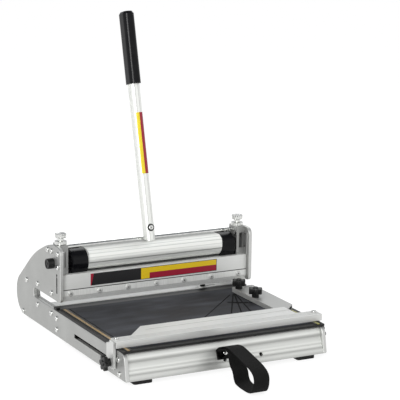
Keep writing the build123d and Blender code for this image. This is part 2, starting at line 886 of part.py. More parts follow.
lever_plane = Plane(
    origin=(0, front_y + axis_y, axis_z),
    x_dir=(1, 0, 0),
    z_dir=(0, sin(radians(lever_lean)), cos(radians(lever_lean))),
)
cam_angles = [
    -cam_lead + i * (lever_travel + 2 * cam_lead) / cam_steps for i in range(cam_steps + 1)
]
with BuildPart() as cam_roller:
    with BuildSketch(side_view(-cam_half)):
        with BuildLine():
            cam_curve = Spline(*(cam_point(angle) for angle in cam_angles))
            Polyline(
                cam_curve @ 1,
                (axis_y - cam_ridge_share * cam_top, axis_z + cam_top),
                (axis_y + cam_crown_share * cam_back, axis_z + cam_top),
                (axis_y + cam_back, axis_z + cam_corner_share * cam_top),
                (axis_y + cam_back, axis_z - cam_heel_share * cam_low),
                cam_curve @ 0,
            )
        make_face()
        with Locations((axis_y, axis_z)):
            Circle(axle_radius + push_gap, mode=Mode.SUBTRACT)
        for share in cam_groove_shares:
            with Locations((axis_y + share * cam_back, axis_z + cam_top)):
                Rectangle(flute_width / 2, flute_depth, mode=Mode.SUBTRACT)
        with Locations(cam_point(lever_travel / 2)):
            Rectangle(flute_width / 2, flute_width / 2, rotation=45, mode=Mode.SUBTRACT)
    extrude(amount=2 * cam_half)
    with BuildSketch(lever_plane.offset(tube_start)):
        RectangleRounded(
            tube_width + 2 * push_gap, tube_depth + 2 * push_gap, tube_corner + push_gap
        )
    extrude(amount=2 * cam_top, mode=Mode.SUBTRACT)
save(cam_roller, "cam_roller")

# Axle through roller, drums and bearing blocks
with BuildPart() as roller_axle:
    axle_half = half_cut + plate_thickness - slide_gap
    with BuildSketch(side_view(-axle_half)):
        with Locations((axis_y, axis_z)):
            Circle(axle_radius)
    extrude(amount=2 * axle_half)
save(roller_axle, "roller_axle")

# Drums at the roller's ends, each with a collar towards the bearing
for side, hand in ((-1, "left"), (1, "right")):
    with BuildPart() as drum:
        with BuildSketch(side_view(side * cam_half)):
            with Locations((axis_y, axis_z)):
                Circle(drum_radius)
                Circle(axle_radius + push_gap, mode=Mode.SUBTRACT)
        extrude(amount=side * drum_length)
        outer_face = drum.faces().sort_by(Axis.X)[-1 if side > 0 else 0]
        chamfer(outer_face.edges().sort_by(SortBy.LENGTH)[-1], tube_wall)
        collar_end = channel_inner - slide_gap
        drum_end = cam_half + drum_length
        with BuildSketch(side_view(side * drum_end)):
            with Locations((axis_y, axis_z)):
                Circle(drum_radius / 2)
                Circle(axle_radius + push_gap, mode=Mode.SUBTRACT)
        extrude(amount=side * (collar_end - drum_end))
    save(drum, f"drum_{hand}")

# Lever tube, fluted along its length, set into the roller
with BuildPart() as handle_tube:
    tube_end = lever_length - grip_cap_height - tube_inset
    with BuildSketch(lever_plane.offset(tube_start)):
        RectangleRounded(tube_width, tube_depth, tube_corner)
        RectangleRounded(
            tube_width - 2 * tube_wall,
            tube_depth - 2 * tube_wall,
            tube_corner - tube_wall,
            mode=Mode.SUBTRACT,
        )
        for share in tube_groove_shares:
            with Locations(
                (-tube_width / 2, share * tube_depth), (tube_width / 2, share * tube_depth)
            ):
                Rectangle(flute_depth, flute_depth, mode=Mode.SUBTRACT)
    extrude(amount=tube_end - tube_start)
    with BuildSketch(
        Plane(
            origin=lever_plane.from_local_coords((0, -tube_depth / 2, handle_screw_up)),
            x_dir=(1, 0, 0),
            z_dir=-lever_plane.y_dir,
        )
    ):
        Circle(screw_radius + push_gap)
    extrude(amount=-tube_wall, mode=Mode.SUBTRACT)
save(handle_tube, "handle_tube")

# Screw on the front of the lever, just above the roller
with BuildPart() as handle_screw:
    pan_screw(
        Plane(
            origin=lever_plane.from_local_coords((0, -tube_depth / 2, handle_screw_up)),
            x_dir=(1, 0, 0),
            z_dir=-lever_plane.y_dir,
        ),
        screw_head_radius,
        screw_head_height,
        screw_radius,
        tube_wall,
    )
save(handle_screw, "handle_screw")

# Moulded grip with finger grooves at the back
with BuildPart() as handle_grip:
    grip_start = lever_length - grip_length
    grip_body = grip_length - grip_cap_height
    with BuildSketch(lever_plane.offset(grip_start)):
        RectangleRounded(grip_width, grip_depth, grip_corner)
    extrude(amount=grip_body)
    finger_pitch = grip_body / (finger_count + 1)
    for i in range(finger_count):
        groove = Plane(
            origin=lever_plane.from_local_coords(
                (
                    -grip_width / 2 - overrun,
                    grip_depth / 2 + finger_radius - finger_dip,
                    grip_start + (i + 1) * finger_pitch,
                )
            ),
            x_dir=lever_plane.y_dir,
            z_dir=(1, 0, 0),
        )
        with BuildSketch(groove):
            Circle(finger_radius)
        extrude(amount=grip_width + 2 * overrun, mode=Mode.SUBTRACT)
    with BuildSketch(lever_plane.offset(grip_start)):
        RectangleRounded(
            tube_width + 2 * push_gap, tube_depth + 2 * push_gap, tube_corner + push_gap
        )
    extrude(amount=tube_end - grip_start, mode=Mode.SUBTRACT)
save(handle_grip, "handle_grip")

# Cap on the end of the grip
with BuildPart() as grip_cap:
    with BuildSketch(lever_plane.offset(lever_length - grip_cap_height)):
        RectangleRounded(grip_width, grip_depth, grip_corner)
    extrude(amount=grip_cap_height, taper=screw_taper)
save(grip_cap, "grip_cap")

# Blade beam: front wall as wide as the cut, hollow box behind it between the channels
wall_half = half_cut - slide_gap
box_back = wall_back + beam_box_depth
with BuildPart() as blade_beam:
    with BuildSketch(side_view(-wall_half)):
        with BuildLine():
            Polyline(
                (beam_face, beam_top),
                (beam_face, beam_bottom),
                (blade_back, beam_bottom),
                (blade_back, beam_bottom - beam_skirt),
                (wall_back, beam_bottom - beam_skirt),
                (wall_back, beam_top),
                close=True,
            )
        make_face()
        core_bottom = beam_bottom + beam_skin
        core_top = beam_top - core_drop
        with Locations(((beam_face + wall_back) / 2, (core_bottom + core_top) / 2)):
            Rectangle(
                beam_wall_depth - 2 * beam_skin, core_top - core_bottom, mode=Mode.SUBTRACT
            )
    extrude(amount=2 * wall_half)
    with BuildSketch(side_view(-box_half)):
        with Locations(
            (wall_back + beam_box_depth / 2, (beam_bottom + beam_shelf) / 2)
        ):
            Rectangle(beam_box_depth, beam_shelf - beam_bottom)
            Rectangle(
                beam_box_depth - 2 * beam_skin,
                beam_shelf - beam_bottom - 2 * beam_skin,
                mode=Mode.SUBTRACT,
            )
    extrude(amount=2 * box_half)
    pin_z = beam_top - pin_drop
    with BuildSketch(side_view(-wall_half)):
        with Locations((pin_y, pin_z)):
            Circle(pin_radius + push_gap)
    extrude(amount=channel_depth, mode=Mode.SUBTRACT)
    with BuildSketch(side_view(wall_half)):
        with Locations((pin_y, pin_z)):
            Circle(pin_radius + push_gap)
    extrude(amount=-channel_depth, mode=Mode.SUBTRACT)
    blade_screw_step = (cut_width - 2 * blade_screw_inset) / (blade_screw_count - 1)
    blade_screw_places = [
        ((i - (blade_screw_count - 1) / 2) * blade_screw_step, blade_screw_z)
        for i in range(blade_screw_count)
    ]
    screw_depth = blade_thickness + beam_skin
    with BuildSketch(front_view(blade_back)):
        with Locations(*blade_screw_places):
            Circle(screw_radius + push_gap)
    extrude(amount=-beam_skin, mode=Mode.SUBTRACT)
save(blade_beam, "blade_beam")

# Blade with a bevel on its front
with BuildPart() as blade:
    with BuildSketch(side_view(-wall_half)):
        with BuildLine():
            Polyline(
                (beam_face, beam_bottom),
                (beam_face, blade_edge_z + blade_bevel),
                (blade_back, blade_edge_z),
                (blade_back, beam_bottom),
                close=True,
            )
        make_face()
    extrude(amount=2 * wall_half)
    with BuildSketch(front_view(beam_face)):
        with Locations(*blade_screw_places):
            Circle(screw_radius + push_gap)
    extrude(amount=-blade_thickness, mode=Mode.SUBTRACT)
save(blade, "blade")

# Screws that hold the blade
with BuildPart() as blade_screws:
    for place_x, place_z in blade_screw_places:
        pan_screw(
            Plane(
                origin=(place_x, front_y + beam_face, place_z),
                x_dir=(1, 0, 0),
                z_dir=(0, -1, 0),
            ),
            screw_head_radius,
            screw_head_height,
            screw_radius,
            screw_depth,
        )
save(blade_screws, "blade_screws")

# Guide pins, which run in the slots of the side plates
with BuildPart() as guide_pins:
    for side in (-1, 1):
        with BuildSketch(side_view(side * (wall_half - channel_depth))):
            with Locations((pin_y, pin_z)):
                Circle(pin_radius)
        extrude(amount=side * (channel_depth + plate_thickness))
save(guide_pins, "guide_pins")

# Hard strip on the beam that the roller bears on
with BuildPart() as wear_strip:
    with BuildSketch(top_view(beam_shelf)):
        with Locations((0, wall_back + strip_width / 2)):
            Rectangle(2 * (cam_half - slide_gap), strip_width)
    extrude(amount=strip_thickness)
save(wear_strip, "wear_strip")

# Shoes on the beam's ends, which slide in the channels
for side, hand in ((-1, "left"), (1, "right")):
    with BuildPart() as guide_shoe:
        with BuildSketch(top_view(shoe_bottom)):
            shoe_reach = half_cut - channel_wall - slide_gap - box_half
            with Locations((side * (box_half + shoe_reach / 2), axis_y)):
                Rectangle(shoe_reach, channel_slot - 2 * slide_gap)
        extrude(amount=shoe_height)
    save(guide_shoe, f"guide_shoe_{hand}")

# Fence: ridged ledge with a lip at its front, a wide flange behind it and a stop rib under it
ledge_back = fence_front + fence_ledge
with BuildPart() as fence_bar:
    with BuildSketch(top_view(fence_under)):
        with Locations((0, fence_front + fence_ledge / 2)):
            Rectangle(2 * fence_half, fence_ledge)
        with BuildLine():
            Polyline(
                (-fence_left, ledge_back),
                (fence_cut - fence_left, ledge_back + fence_flange),
                (fence_right, ledge_back + fence_flange),
                (fence_right, ledge_back),
                close=True,
            )
        make_face()
    extrude(amount=fence_thickness)
    with BuildSketch(top_view(guide_bottom)):
        with Locations(((rib_right - rib_left) / 2, ledge_back - rib_thickness / 2)):
            Rectangle(rib_left + rib_right, rib_thickness)
        with Locations((0, fence_front + fence_thickness / 2)):
            Rectangle(2 * fence_half, fence_thickness)
    extrude(amount=fence_under - guide_bottom)
    with BuildSketch(side_view(-fence_half)):
        for i in range(ridge_count):
            with Locations((fence_front + (i + 1) * fence_ledge / (ridge_count + 1), fence_top)):
                Rectangle(ridge_width, 2 * ridge_depth)
    extrude(amount=2 * fence_half, mode=Mode.SUBTRACT)
    with BuildSketch(side_view(fence_cut - fence_left)):
        with Locations((ledge_back + fence_flange / 2, fence_top)):
            Rectangle(ridge_width, 2 * ridge_depth)
    extrude(amount=fence_right + fence_left - fence_cut, mode=Mode.SUBTRACT)
    fence_screw_x = fence_half - fence_screw_inset
    fence_screw_y = bracket_front + bracket_pad / 2
    with BuildSketch(top_view(fence_under)):
        with Locations((-fence_screw_x, fence_screw_y), (fence_screw_x, fence_screw_y)):
            Circle(screw_radius + push_gap)
    extrude(amount=fence_thickness, mode=Mode.SUBTRACT)
save(fence_bar, "fence_bar")

# Brackets that reach over the plates' edges and down beside them
for side, hand in ((-1, "left"), (1, "right")):
    with BuildPart() as fence_bracket:
        outer_x = half_cut + bracket_out
        leg_bottom = slot_z - bracket_drop
        with BuildSketch(front_view(bracket_front)):
            with Locations((side * (bracket_inner + outer_x) / 2, (arm_bottom + bracket_top) / 2)):
                Rectangle(outer_x - bracket_inner, bracket_top - arm_bottom)
            with Locations(
                (side * (outer_x - bracket_leg / 2), (leg_bottom + bracket_top) / 2)
            ):
                Rectangle(bracket_leg, bracket_top - leg_bottom)
        extrude(amount=-bracket_length)
        with BuildSketch(top_view(bracket_top)):
            with Locations(
                (side * (bracket_inner + outer_x) / 2, bracket_front + bracket_pad / 2)
            ):
                Rectangle(outer_x - bracket_inner, bracket_pad)
        extrude(amount=fence_under - bracket_top)
        with BuildSketch(side_view(side * outer_x)):
            with Locations((stud_y, slot_z)):
                Circle(stud_radius + running_gap)
        extrude(amount=-side * bracket_leg, mode=Mode.SUBTRACT)
        with BuildSketch(top_view(fence_under)):
            with Locations((side * fence_screw_x, fence_screw_y)):
                Circle(screw_radius + push_gap)
        extrude(amount=-(fence_under - bracket_top), mode=Mode.SUBTRACT)
    save(fence_bracket, f"fence_bracket_{hand}")

    # Clamp knob with its stud through the bracket and the plate's slot
    with BuildPart() as fence_knob:
        stud_end = half_cut - nut_thickness - slide_gap
        lobed_knob(
            Plane(
                origin=(side * (outer_x + slide_gap), front_y + stud_y, slot_z),
                x_dir=(0, 1, 0),
                z_dir=(side, 0, 0),
            ),
            side_knob_radius,
            side_knob_height - collar_height,
            outer_x + slide_gap - stud_end,
        )
    save(fence_knob, f"fence_knob_{hand}")

# Screws that hold the fence to its brackets, and the nuts inside the plates
with BuildPart() as fence_screws:
    for side in (-1, 1):
        pan_screw(
            Plane(
                origin=(side * fence_screw_x, front_y + fence_screw_y, fence_top),
                x_dir=(1, 0, 0),
                z_dir=(0, 0, 1),
            ),
            screw_head_radius,
            screw_head_height,
            screw_radius,
            fence_thickness + screw_grip,
        )
save(fence_screws, "fence_screws")

with BuildPart() as fence_nuts:
    for side in (-1, 1):
        with BuildSketch(side_view(side * (half_cut - slide_gap))):
            with Locations((stud_y, slot_z)):
                Rectangle(nut_size, nut_size)
                Circle(stud_radius + running_gap, mode=Mode.SUBTRACT)
        extrude(amount=-side * nut_thickness)
save(fence_nuts, "fence_nuts")

# Angle guide: flat tube with a mitred front end
with BuildPart() as angle_guide:
    guide_front = pivot_y - guide_reach
    with BuildSketch(front_view(guide_back)):
        with Locations((half_cut - guide_width / 2, (guide_bottom + guide_top) / 2)):
            RectangleRounded(guide_width, guide_height, guide_round)
            Rectangle(
                guide_width - 2 * guide_wall, guide_height - 2 * guide_wall, mode=Mode.SUBTRACT
            )
    extrude(amount=guide_back - guide_front)
    with BuildSketch(top_view(guide_bottom)):
        with BuildLine():
            Polyline(
                (guide_left, guide_front),
                (half_cut, guide_front + guide_width),
                (half_cut, guide_front),
                close=True,
            )
        make_face()
        with Locations((pivot_x, pivot_y), (pivot_x, clamp_y)):
            Circle(stud_radius + running_gap)
    extrude(amount=guide_height, mode=Mode.SUBTRACT)
save(angle_guide, "angle_guide")

# Nuts under the table board for the guide's knobs
with BuildPart() as guide_nuts:
    with BuildSketch(top_view(table_edge - slide_gap)):
        with Locations((pivot_x, pivot_y), (pivot_x, clamp_y)):
            RegularPolygon(guide_nut, 6)
            Circle(stud_radius + running_gap, mode=Mode.SUBTRACT)
    extrude(amount=-nut_thickness)
save(guide_nuts, "guide_nuts")

# Knobs on the guide: one at its pivot, one that clamps its angle
stud_below = guide_top + slide_gap - (table_edge - slide_gap - nut_thickness)
for knob_name, knob_y in (("guide_pivot_knob", pivot_y), ("guide_clamp_knob", clamp_y)):
    with BuildPart() as guide_knob:
        lobed_knob(
            Plane(origin=(pivot_x, front_y + knob_y, guide_top + slide_gap)),
            top_knob_radius,
            top_knob_height,
            stud_below,
        )
    save(guide_knob, knob_name)

# Ledge behind the anvil beam that carries the rear stop
with BuildPart() as rear_stop_ledge:
    with BuildSketch(side_view(ledge_left)):
        with BuildLine():
            Polyline(
                (anvil_beam_back, table_edge),
                (anvil_beam_back + ledge_width, table_edge),
                (anvil_beam_back + ledge_width, table_edge - ledge_thickness),
                (anvil_beam_back + ledge_thickness, table_edge - ledge_thickness),
                (anvil_beam_back + ledge_thickness, table_edge - ledge_drop),
                (anvil_beam_back, table_edge - ledge_drop),
                close=True,
            )
        make_face()
    extrude(amount=ledge_length)
    stop_y = anvil_beam_back + overrun + stop_width / 2
    with BuildSketch(top_view(table_edge)):
        with Locations((stop_stud_x, stop_y)):
            Circle(stud_radius + running_gap)
    extrude(amount=-ledge_thickness, mode=Mode.SUBTRACT)
save(rear_stop_ledge, "rear_stop_ledge")

# Slotted stop bar that slides sideways on the ledge
with BuildPart() as rear_stop_arm:
    stop_bottom = table_edge + slide_gap
    with BuildSketch(top_view(stop_bottom)):
        with Locations((stop_left + stop_length / 2, stop_y)):
            RectangleRounded(stop_length, stop_width, stop_round)
        with Locations((stop_stud_x + stop_travel / 2, stop_y)):
            SlotCenterToCenter(stop_travel, 2 * (stud_radius + slide_gap), mode=Mode.SUBTRACT)
    extrude(amount=stop_thickness)
save(rear_stop_arm, "rear_stop_arm")

with BuildPart() as rear_stop_knob:
    lobed_knob(
        Plane(origin=(stop_stud_x, front_y + stop_y, stop_bottom + stop_thickness + slide_gap)),
        small_knob_radius,
        small_knob_height,
        stop_thickness + 2 * slide_gap + ledge_thickness,
    )
save(rear_stop_knob, "rear_stop_knob")

# Carry strap: webbing loop on the floor, its two ends laid together on the extrusion's face
strap_fold = strap_high - strap_thickness
strap_points = [
    (face_y(strap_low), strap_low),
    (face_y(strap_high), strap_high),
    *(
        (-reach * strap_reach, slide_gap + height * (strap_rise - slide_gap))
        for reach, height in strap_shares
    ),
    (face_y(strap_fold) - 2 * strap_thickness, strap_fold),
    (face_y(strap_low) - 2 * strap_thickness, strap_low),
]
with BuildPart() as carry_strap:
    with BuildSketch(side_view(strap_x - strap_width / 2)):
        rounded_face(strap_points, [strap_round_share] * len(strap_points))
        offset(amount=-strap_thickness, mode=Mode.SUBTRACT)
    extrude(amount=strap_width)
    tab_height = Vector(
        face_y(strap_high) - face_y(strap_low), strap_high - strap_low
    ).length
    with BuildSketch(face_plane.offset(strap_thickness)):
        Rectangle(strap_width, tab_share * tab_height)
    extrude(amount=2 * strap_thickness)
    with BuildSketch(face_plane):
        Circle(screw_radius + push_gap)
    extrude(amount=3 * strap_thickness, mode=Mode.SUBTRACT)
save(carry_strap, "carry_strap")

with BuildPart() as strap_screw:
    pan_screw(
        face_plane.offset(3 * strap_thickness),
        strap_screw_head,
        strap_screw_height,
        screw_radius,
        3 * strap_thickness + strap_screw_length,
    )
save(strap_screw, "strap_screw")
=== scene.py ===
# %% [markdown]
# # A bench cutter for laminate planks
# The shape of this tool comes from a finished CAD model. Here it gets its looks: metals,
# plastics, rubber and webbing, the knobs and screws that a hand would touch, and plain
# studio light. Every size below is in metres, in the CAD model's own frame: X runs along the
# blade, Y from the strap and the fence at the front to the lever at the back, and Z is up.

import math

import bmesh
import bpy
from mathutils import Matrix, Vector


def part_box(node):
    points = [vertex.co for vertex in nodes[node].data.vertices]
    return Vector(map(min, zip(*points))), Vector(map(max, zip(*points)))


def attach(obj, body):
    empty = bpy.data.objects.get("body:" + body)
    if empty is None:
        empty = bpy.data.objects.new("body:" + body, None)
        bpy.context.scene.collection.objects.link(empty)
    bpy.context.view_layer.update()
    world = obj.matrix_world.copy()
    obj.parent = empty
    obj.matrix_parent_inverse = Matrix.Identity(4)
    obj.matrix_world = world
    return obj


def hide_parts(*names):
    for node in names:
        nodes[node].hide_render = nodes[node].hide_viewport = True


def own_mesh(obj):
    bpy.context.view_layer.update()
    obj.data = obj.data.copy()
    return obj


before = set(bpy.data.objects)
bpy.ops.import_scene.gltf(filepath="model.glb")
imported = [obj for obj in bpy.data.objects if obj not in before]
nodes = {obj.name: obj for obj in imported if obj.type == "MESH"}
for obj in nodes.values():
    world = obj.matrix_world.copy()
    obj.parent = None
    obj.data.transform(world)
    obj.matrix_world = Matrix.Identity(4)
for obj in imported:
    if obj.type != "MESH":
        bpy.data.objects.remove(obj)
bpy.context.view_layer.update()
SIDES = (("left", -1), ("right", 1))

# %% [markdown]
# ## Camera
# A product photo is taken from far away with a long lens, so that parallel edges stay nearly
# parallel. The camera stands in front, to the left and well above the tool, and it is turned
# less than a degree about its own line of sight.

# %% Place the camera
SENSOR = 36
PICTURE_PIXELS = 400
FOCAL_PIXELS = 1786.2
CAMERA_SPOT = Vector((-1.26828, -2.46401, 0.86340))
SIGHT = Vector((0.454339, 0.863438, -0.219205)).normalized()
ROLL = math.radians(0.86)
NEAREST, FARTHEST = 0.1, 50


def laid_along(x, y, z):
    """The turn that lays the three axes along three directions."""
    return Matrix((x, y, z)).transposed().to_4x4()


level_right = SIGHT.cross(Vector((0, 0, 1))).normalized()
level_up = level_right.cross(SIGHT)
right = math.cos(ROLL) * level_right + math.sin(ROLL) * level_up
up = math.cos(ROLL) * level_up - math.sin(ROLL) * level_right

camera_data = bpy.data.cameras.new("photo_camera")
camera_data.sensor_width = SENSOR
camera_data.lens = FOCAL_PIXELS * SENSOR / PICTURE_PIXELS
camera_data.clip_start = NEAREST
camera_data.clip_end = FARTHEST
camera = bpy.data.objects.new("photo_camera", camera_data)
bpy.context.collection.objects.link(camera)
camera.matrix_world = Matrix.Translation(CAMERA_SPOT) @ laid_along(right, up, -SIGHT)
bpy.context.scene.camera = camera
print("Lens", round(camera_data.lens, 1), "mm")

# %% [markdown]
# ## Nodes
# The room and every finish are built from shader nodes. These helpers add a node, feed it with
# the outputs of other nodes or with plain values, and hand its own output on, so that the
# recipes further down read like sums.


# %% Helpers for nodes
def add_node(tree, kind, **settings):
    """A new node with some of its settings changed."""
    node = tree.nodes.new(kind)
    for key, value in settings.items():
        setattr(node, key, value)
    return node


def feed(tree, socket, value):
    """Gives an input the output of another node, or a plain value."""
    if isinstance(value, bpy.types.NodeSocket):
        tree.links.new(value, socket)
    else:
        socket.default_value = value


def reckon(tree, operation, *values):
    """The result of a Math node over outputs and plain numbers."""
    step = add_node(tree, "ShaderNodeMath", operation=operation)
    for socket, value in zip(step.inputs, values):
        feed(tree, socket, value)
    return step.outputs[0]


def mapped(tree, value, from_low, from_high, to_low=0, to_high=1):
    """A value carried from one range of numbers to another."""
    carry = add_node(tree, "ShaderNodeMapRange")
    tree.links.new(value, carry.inputs["Value"])
    carry.inputs["From Min"].default_value = from_low
    carry.inputs["From Max"].default_value = from_high
    carry.inputs["To Min"].default_value = to_low
    carry.inputs["To Max"].default_value = to_high
    return carry.outputs["Result"]


def ramp_of(tree, value, stops, bands="LINEAR"):
    """A colour that follows stops of (place, colour) over a value from 0 to 1."""
    ramp = add_node(tree, "ShaderNodeValToRGB")
    elements = ramp.color_ramp.elements
    ramp.color_ramp.interpolation = bands
    ready = len(elements)
    for number, (place, colour) in enumerate(stops):
        if number < ready:
            stop = elements[number]
            stop.position = place
        else:
            stop = elements.new(place)
        stop.color = (*colour, 1)
    tree.links.new(value, ramp.inputs["Fac"])
    return ramp.outputs["Color"]


def tinted(tree, factor, under, over, blend="MIX"):
    """One colour over another by a factor; each is an output or a plain colour."""
    mixed = add_node(tree, "ShaderNodeMix", data_type="RGBA", blend_type=blend)
    feed(tree, mixed.inputs["Factor"], factor)
    for key, value in (("A", under), ("B", over)):
        feed(tree, mixed.inputs[key], (*value, 1) if isinstance(value, tuple) else value)
    return mixed.outputs["Result"]


def split(tree, vector):
    """The X, Y and Z of a vector."""
    parts = add_node(tree, "ShaderNodeSeparateXYZ")
    tree.links.new(vector, parts.inputs[0])
    return tuple(parts.outputs)

# %% [markdown]
# ## Studio
# A white room does most of the lighting, and two large soft lamps give the shapes their
# shadow sides. What a shiny piece reflects matters as much as the light: a room that is white
# all over makes metal look like paper. So this room is white in front and near the horizon,
# and grey overhead and behind, which draws soft dark bands on every bright edge. A tall narrow
# lamp on the left draws one bright line down the black grip.

# %% Paint the room
SKY_FOR_LIGHT, SKY_FOR_EYES = 0.60, 1.0
WHITE = (1, 1, 1)
CEILING = (0.22, 0.23, 0.25)
WHITE_TO, CEILING_FROM = 0.30, 0.75
REAR_SHARE = 0.35

scene = bpy.context.scene
scene.view_settings.view_transform = "Standard"
world = bpy.data.worlds.new("white_room")
scene.world = world
world.use_nodes = True
sky = world.node_tree
background = sky.nodes["Background"]
rays = add_node(sky, "ShaderNodeLightPath").outputs
seen = reckon(sky, "MAXIMUM", rays["Is Camera Ray"], rays["Is Glossy Ray"])
seen = reckon(sky, "MAXIMUM", seen, rays["Is Transmission Ray"])
sky_level = mapped(sky, seen, 0, 1, SKY_FOR_LIGHT, SKY_FOR_EYES)
heading = add_node(sky, "ShaderNodeTexCoord").outputs["Generated"]
_, backwards, upwards = split(sky, heading)
grey_share = reckon(sky, "MULTIPLY_ADD", backwards, REAR_SHARE, upwards)
room = ramp_of(sky, grey_share, ((WHITE_TO, WHITE), (CEILING_FROM, CEILING)))
feed(sky, background.inputs["Strength"], sky_level)
feed(sky, background.inputs["Color"], tinted(sky, rays["Is Glossy Ray"], WHITE, room))
print("Room with", len(sky.nodes), "nodes")


# %% Hang the lamps and lay the floor
def soft_lamp(name, spot, target, width, height, watts):
    """A soft box that looks at a point."""
    data = bpy.data.lights.new(name, "AREA")
    data.shape = "RECTANGLE"
    data.size = width
    data.size_y = height
    data.energy = watts
    lamp = bpy.data.objects.new(name, data)
    bpy.context.collection.objects.link(lamp)
    aim = (Vector(target) - Vector(spot)).to_track_quat("-Z", "Y")
    lamp.matrix_world = Matrix.Translation(Vector(spot)) @ aim.to_matrix().to_4x4()


TABLE = (0, 0, 0.1)
GRIP = (0, 0.2, 0.45)
soft_lamp("front_lamp", (-1.6, -1.6, 1.3), TABLE, width=1.0, height=1.0, watts=25)
soft_lamp("back_lamp", (0.9, 1.3, 1.5), TABLE, width=1.2, height=1.2, watts=10)
soft_lamp("line_lamp", (-1.69, -1.21, 0.82), GRIP, width=0.35, height=0.9, watts=7)

FLOOR_SIZE = 12
bpy.ops.object.select_all(action="DESELECT")
bpy.ops.mesh.primitive_plane_add(size=FLOOR_SIZE, location=(0, 0, 0))
floor = bpy.context.object
floor.name = "floor"
print("Lamps", len(bpy.data.lights), "and a floor of", FLOOR_SIZE, "m")

# %% [markdown]
# ## Ways of working
# The pieces below are modelled as by hand: a primitive is added at its size and place, edited
# with mesh operators, and finished with modifiers. Operators act on all that is selected, so
# each step starts from an empty selection, and faces or edges are picked by where they lie.


# %% Helpers for selecting
def leave():
    """Back from edit mode to object mode."""
    bpy.ops.object.mode_set(mode="OBJECT")


def drop_selection():
    """Back to object mode with nothing selected."""
    if bpy.context.object and bpy.context.object.mode != "OBJECT":
        leave()
    bpy.ops.object.select_all(action="DESELECT")


def only(piece):
    """Selects one piece and makes it active."""
    drop_selection()
    piece.select_set(True)
    bpy.context.view_layer.objects.active = piece


def pick_all(piece):
    """Edit mode with the whole piece selected."""
    only(piece)
    bpy.ops.object.mode_set(mode="EDIT")
    bpy.ops.mesh.select_all(action="SELECT")

# %% Helpers for picking
SQUARE_ON = 0.9


def pick(piece, kind, parts, test):
    """Edit mode with just those faces or edges selected that pass a test."""
    only(piece)
    bpy.ops.object.mode_set(mode="EDIT")
    bpy.ops.mesh.select_all(action="DESELECT")
    bpy.ops.mesh.select_mode(type=kind)
    leave()
    for part in parts:
        part.select = bool(test(part))
    bpy.ops.object.mode_set(mode="EDIT")


def pick_faces(piece, test):
    """Picks faces by a test of the face."""
    pick(piece, "FACE", piece.data.polygons, test)


def pick_edges(piece, test):
    """Picks edges by a test of their two ends."""
    points = piece.data.vertices
    pick(
        piece, "EDGE", piece.data.edges,
        lambda edge: test(*(points[i].co for i in edge.vertices)),
    )


def faces_up(face):
    return face.normal.z > SQUARE_ON


def faces_down(face):
    return face.normal.z < -SQUARE_ON


# %% Helpers for modelling
def new_piece(name, add, **settings):
    """Adds a primitive, names it and leaves it in object mode."""
    drop_selection()
    add(**settings)
    piece = bpy.context.object
    piece.name = name
    bpy.ops.object.transform_apply(location=True, rotation=True, scale=True)
    return piece


def block(name, size, middle=(0, 0, 0)):
    """A cube, stretched to a size and moved to its place."""
    piece = new_piece(name, bpy.ops.mesh.primitive_cube_add, size=1, location=(0, 0, 0))
    pick_all(piece)
    bpy.ops.transform.resize(value=size)
    bpy.ops.transform.translate(value=middle)
    leave()
    return piece


def insets(*steps):
    """Insets the picked faces by each (thickness, depth) in turn."""
    for thickness, depth in steps:
        bpy.ops.mesh.inset(thickness=thickness, depth=depth)


def press(piece, test, *steps):
    """Insets the faces that pass a test, and goes back to object mode."""
    pick_faces(piece, test)
    insets(*steps)
    leave()


def pull(step):
    """Extrudes the picked faces or edges by a step."""
    bpy.ops.mesh.extrude_region_move(TRANSFORM_OT_translate={"value": tuple(step)})


def round_edges(piece, test, width, segments):
    """Bevels the edges whose two ends pass a test."""
    pick_edges(piece, test)
    bpy.ops.mesh.bevel(offset=width, segments=segments, affect="EDGES")
    leave()


# %% Helpers for modifiers and shading
def apply_modifier(piece, kind, **settings):
    """Adds a modifier, sets it and applies it."""
    only(piece)
    modifier = piece.modifiers.new(kind.lower(), kind)
    for key, value in settings.items():
        setattr(modifier, key, value)
    bpy.ops.object.modifier_apply(modifier=modifier.name)


def soften(piece, width, segments=2, **settings):
    """Rounds all sharp edges a little."""
    apply_modifier(
        piece, "BEVEL", width=width, segments=segments, limit_method="ANGLE", **settings,
    )


def outwards(piece):
    """Turns every face outwards."""
    pick_all(piece)
    bpy.ops.mesh.normals_make_consistent(inside=False)
    leave()


def smooth(piece, degrees):
    """Smooth shading that keeps edges sharp from an angle on."""
    only(piece)
    bpy.ops.object.shade_smooth_by_angle(angle=math.radians(degrees))


# %% Hang a piece on its body
def hand_over(piece, body, slot, *replaced):
    """Hangs a piece under the empty of its body, and hides the CAD nodes that it stands for."""
    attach(piece, body)
    if replaced:
        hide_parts(*replaced)

# %% [markdown]
# ## Finishes
# A finish starts as a Principled shader. Its colour and roughness are then broken up by
# patterns, because real metal shows the direction in which it was drawn or ground, and real
# plastic and rubber are never one even tone. All patterns are measured in the frame's own
# metres, so a scale of 500 makes marks of about 2 mm.

# %% Start a finish and its patterns
EVEN = (1, 1, 1)


def new_finish(name, colour, rough, metallic=0.0, specular=0.5):
    """A material with one Principled shader, its node tree and the shader."""
    material = bpy.data.materials.new(name)
    material.use_nodes = True
    tree = material.node_tree
    shader = tree.nodes["Principled BSDF"]
    shader.inputs["Base Color"].default_value = (*colour, 1)
    shader.inputs["Roughness"].default_value = rough
    shader.inputs["Metallic"].default_value = metallic
    shader.inputs["Specular IOR Level"].default_value = specular
    return material, tree, shader


def object_axes(tree):
    """X, Y and Z of a point on the surface, in the frame's own metres."""
    return split(tree, add_node(tree, "ShaderNodeTexCoord").outputs["Object"])


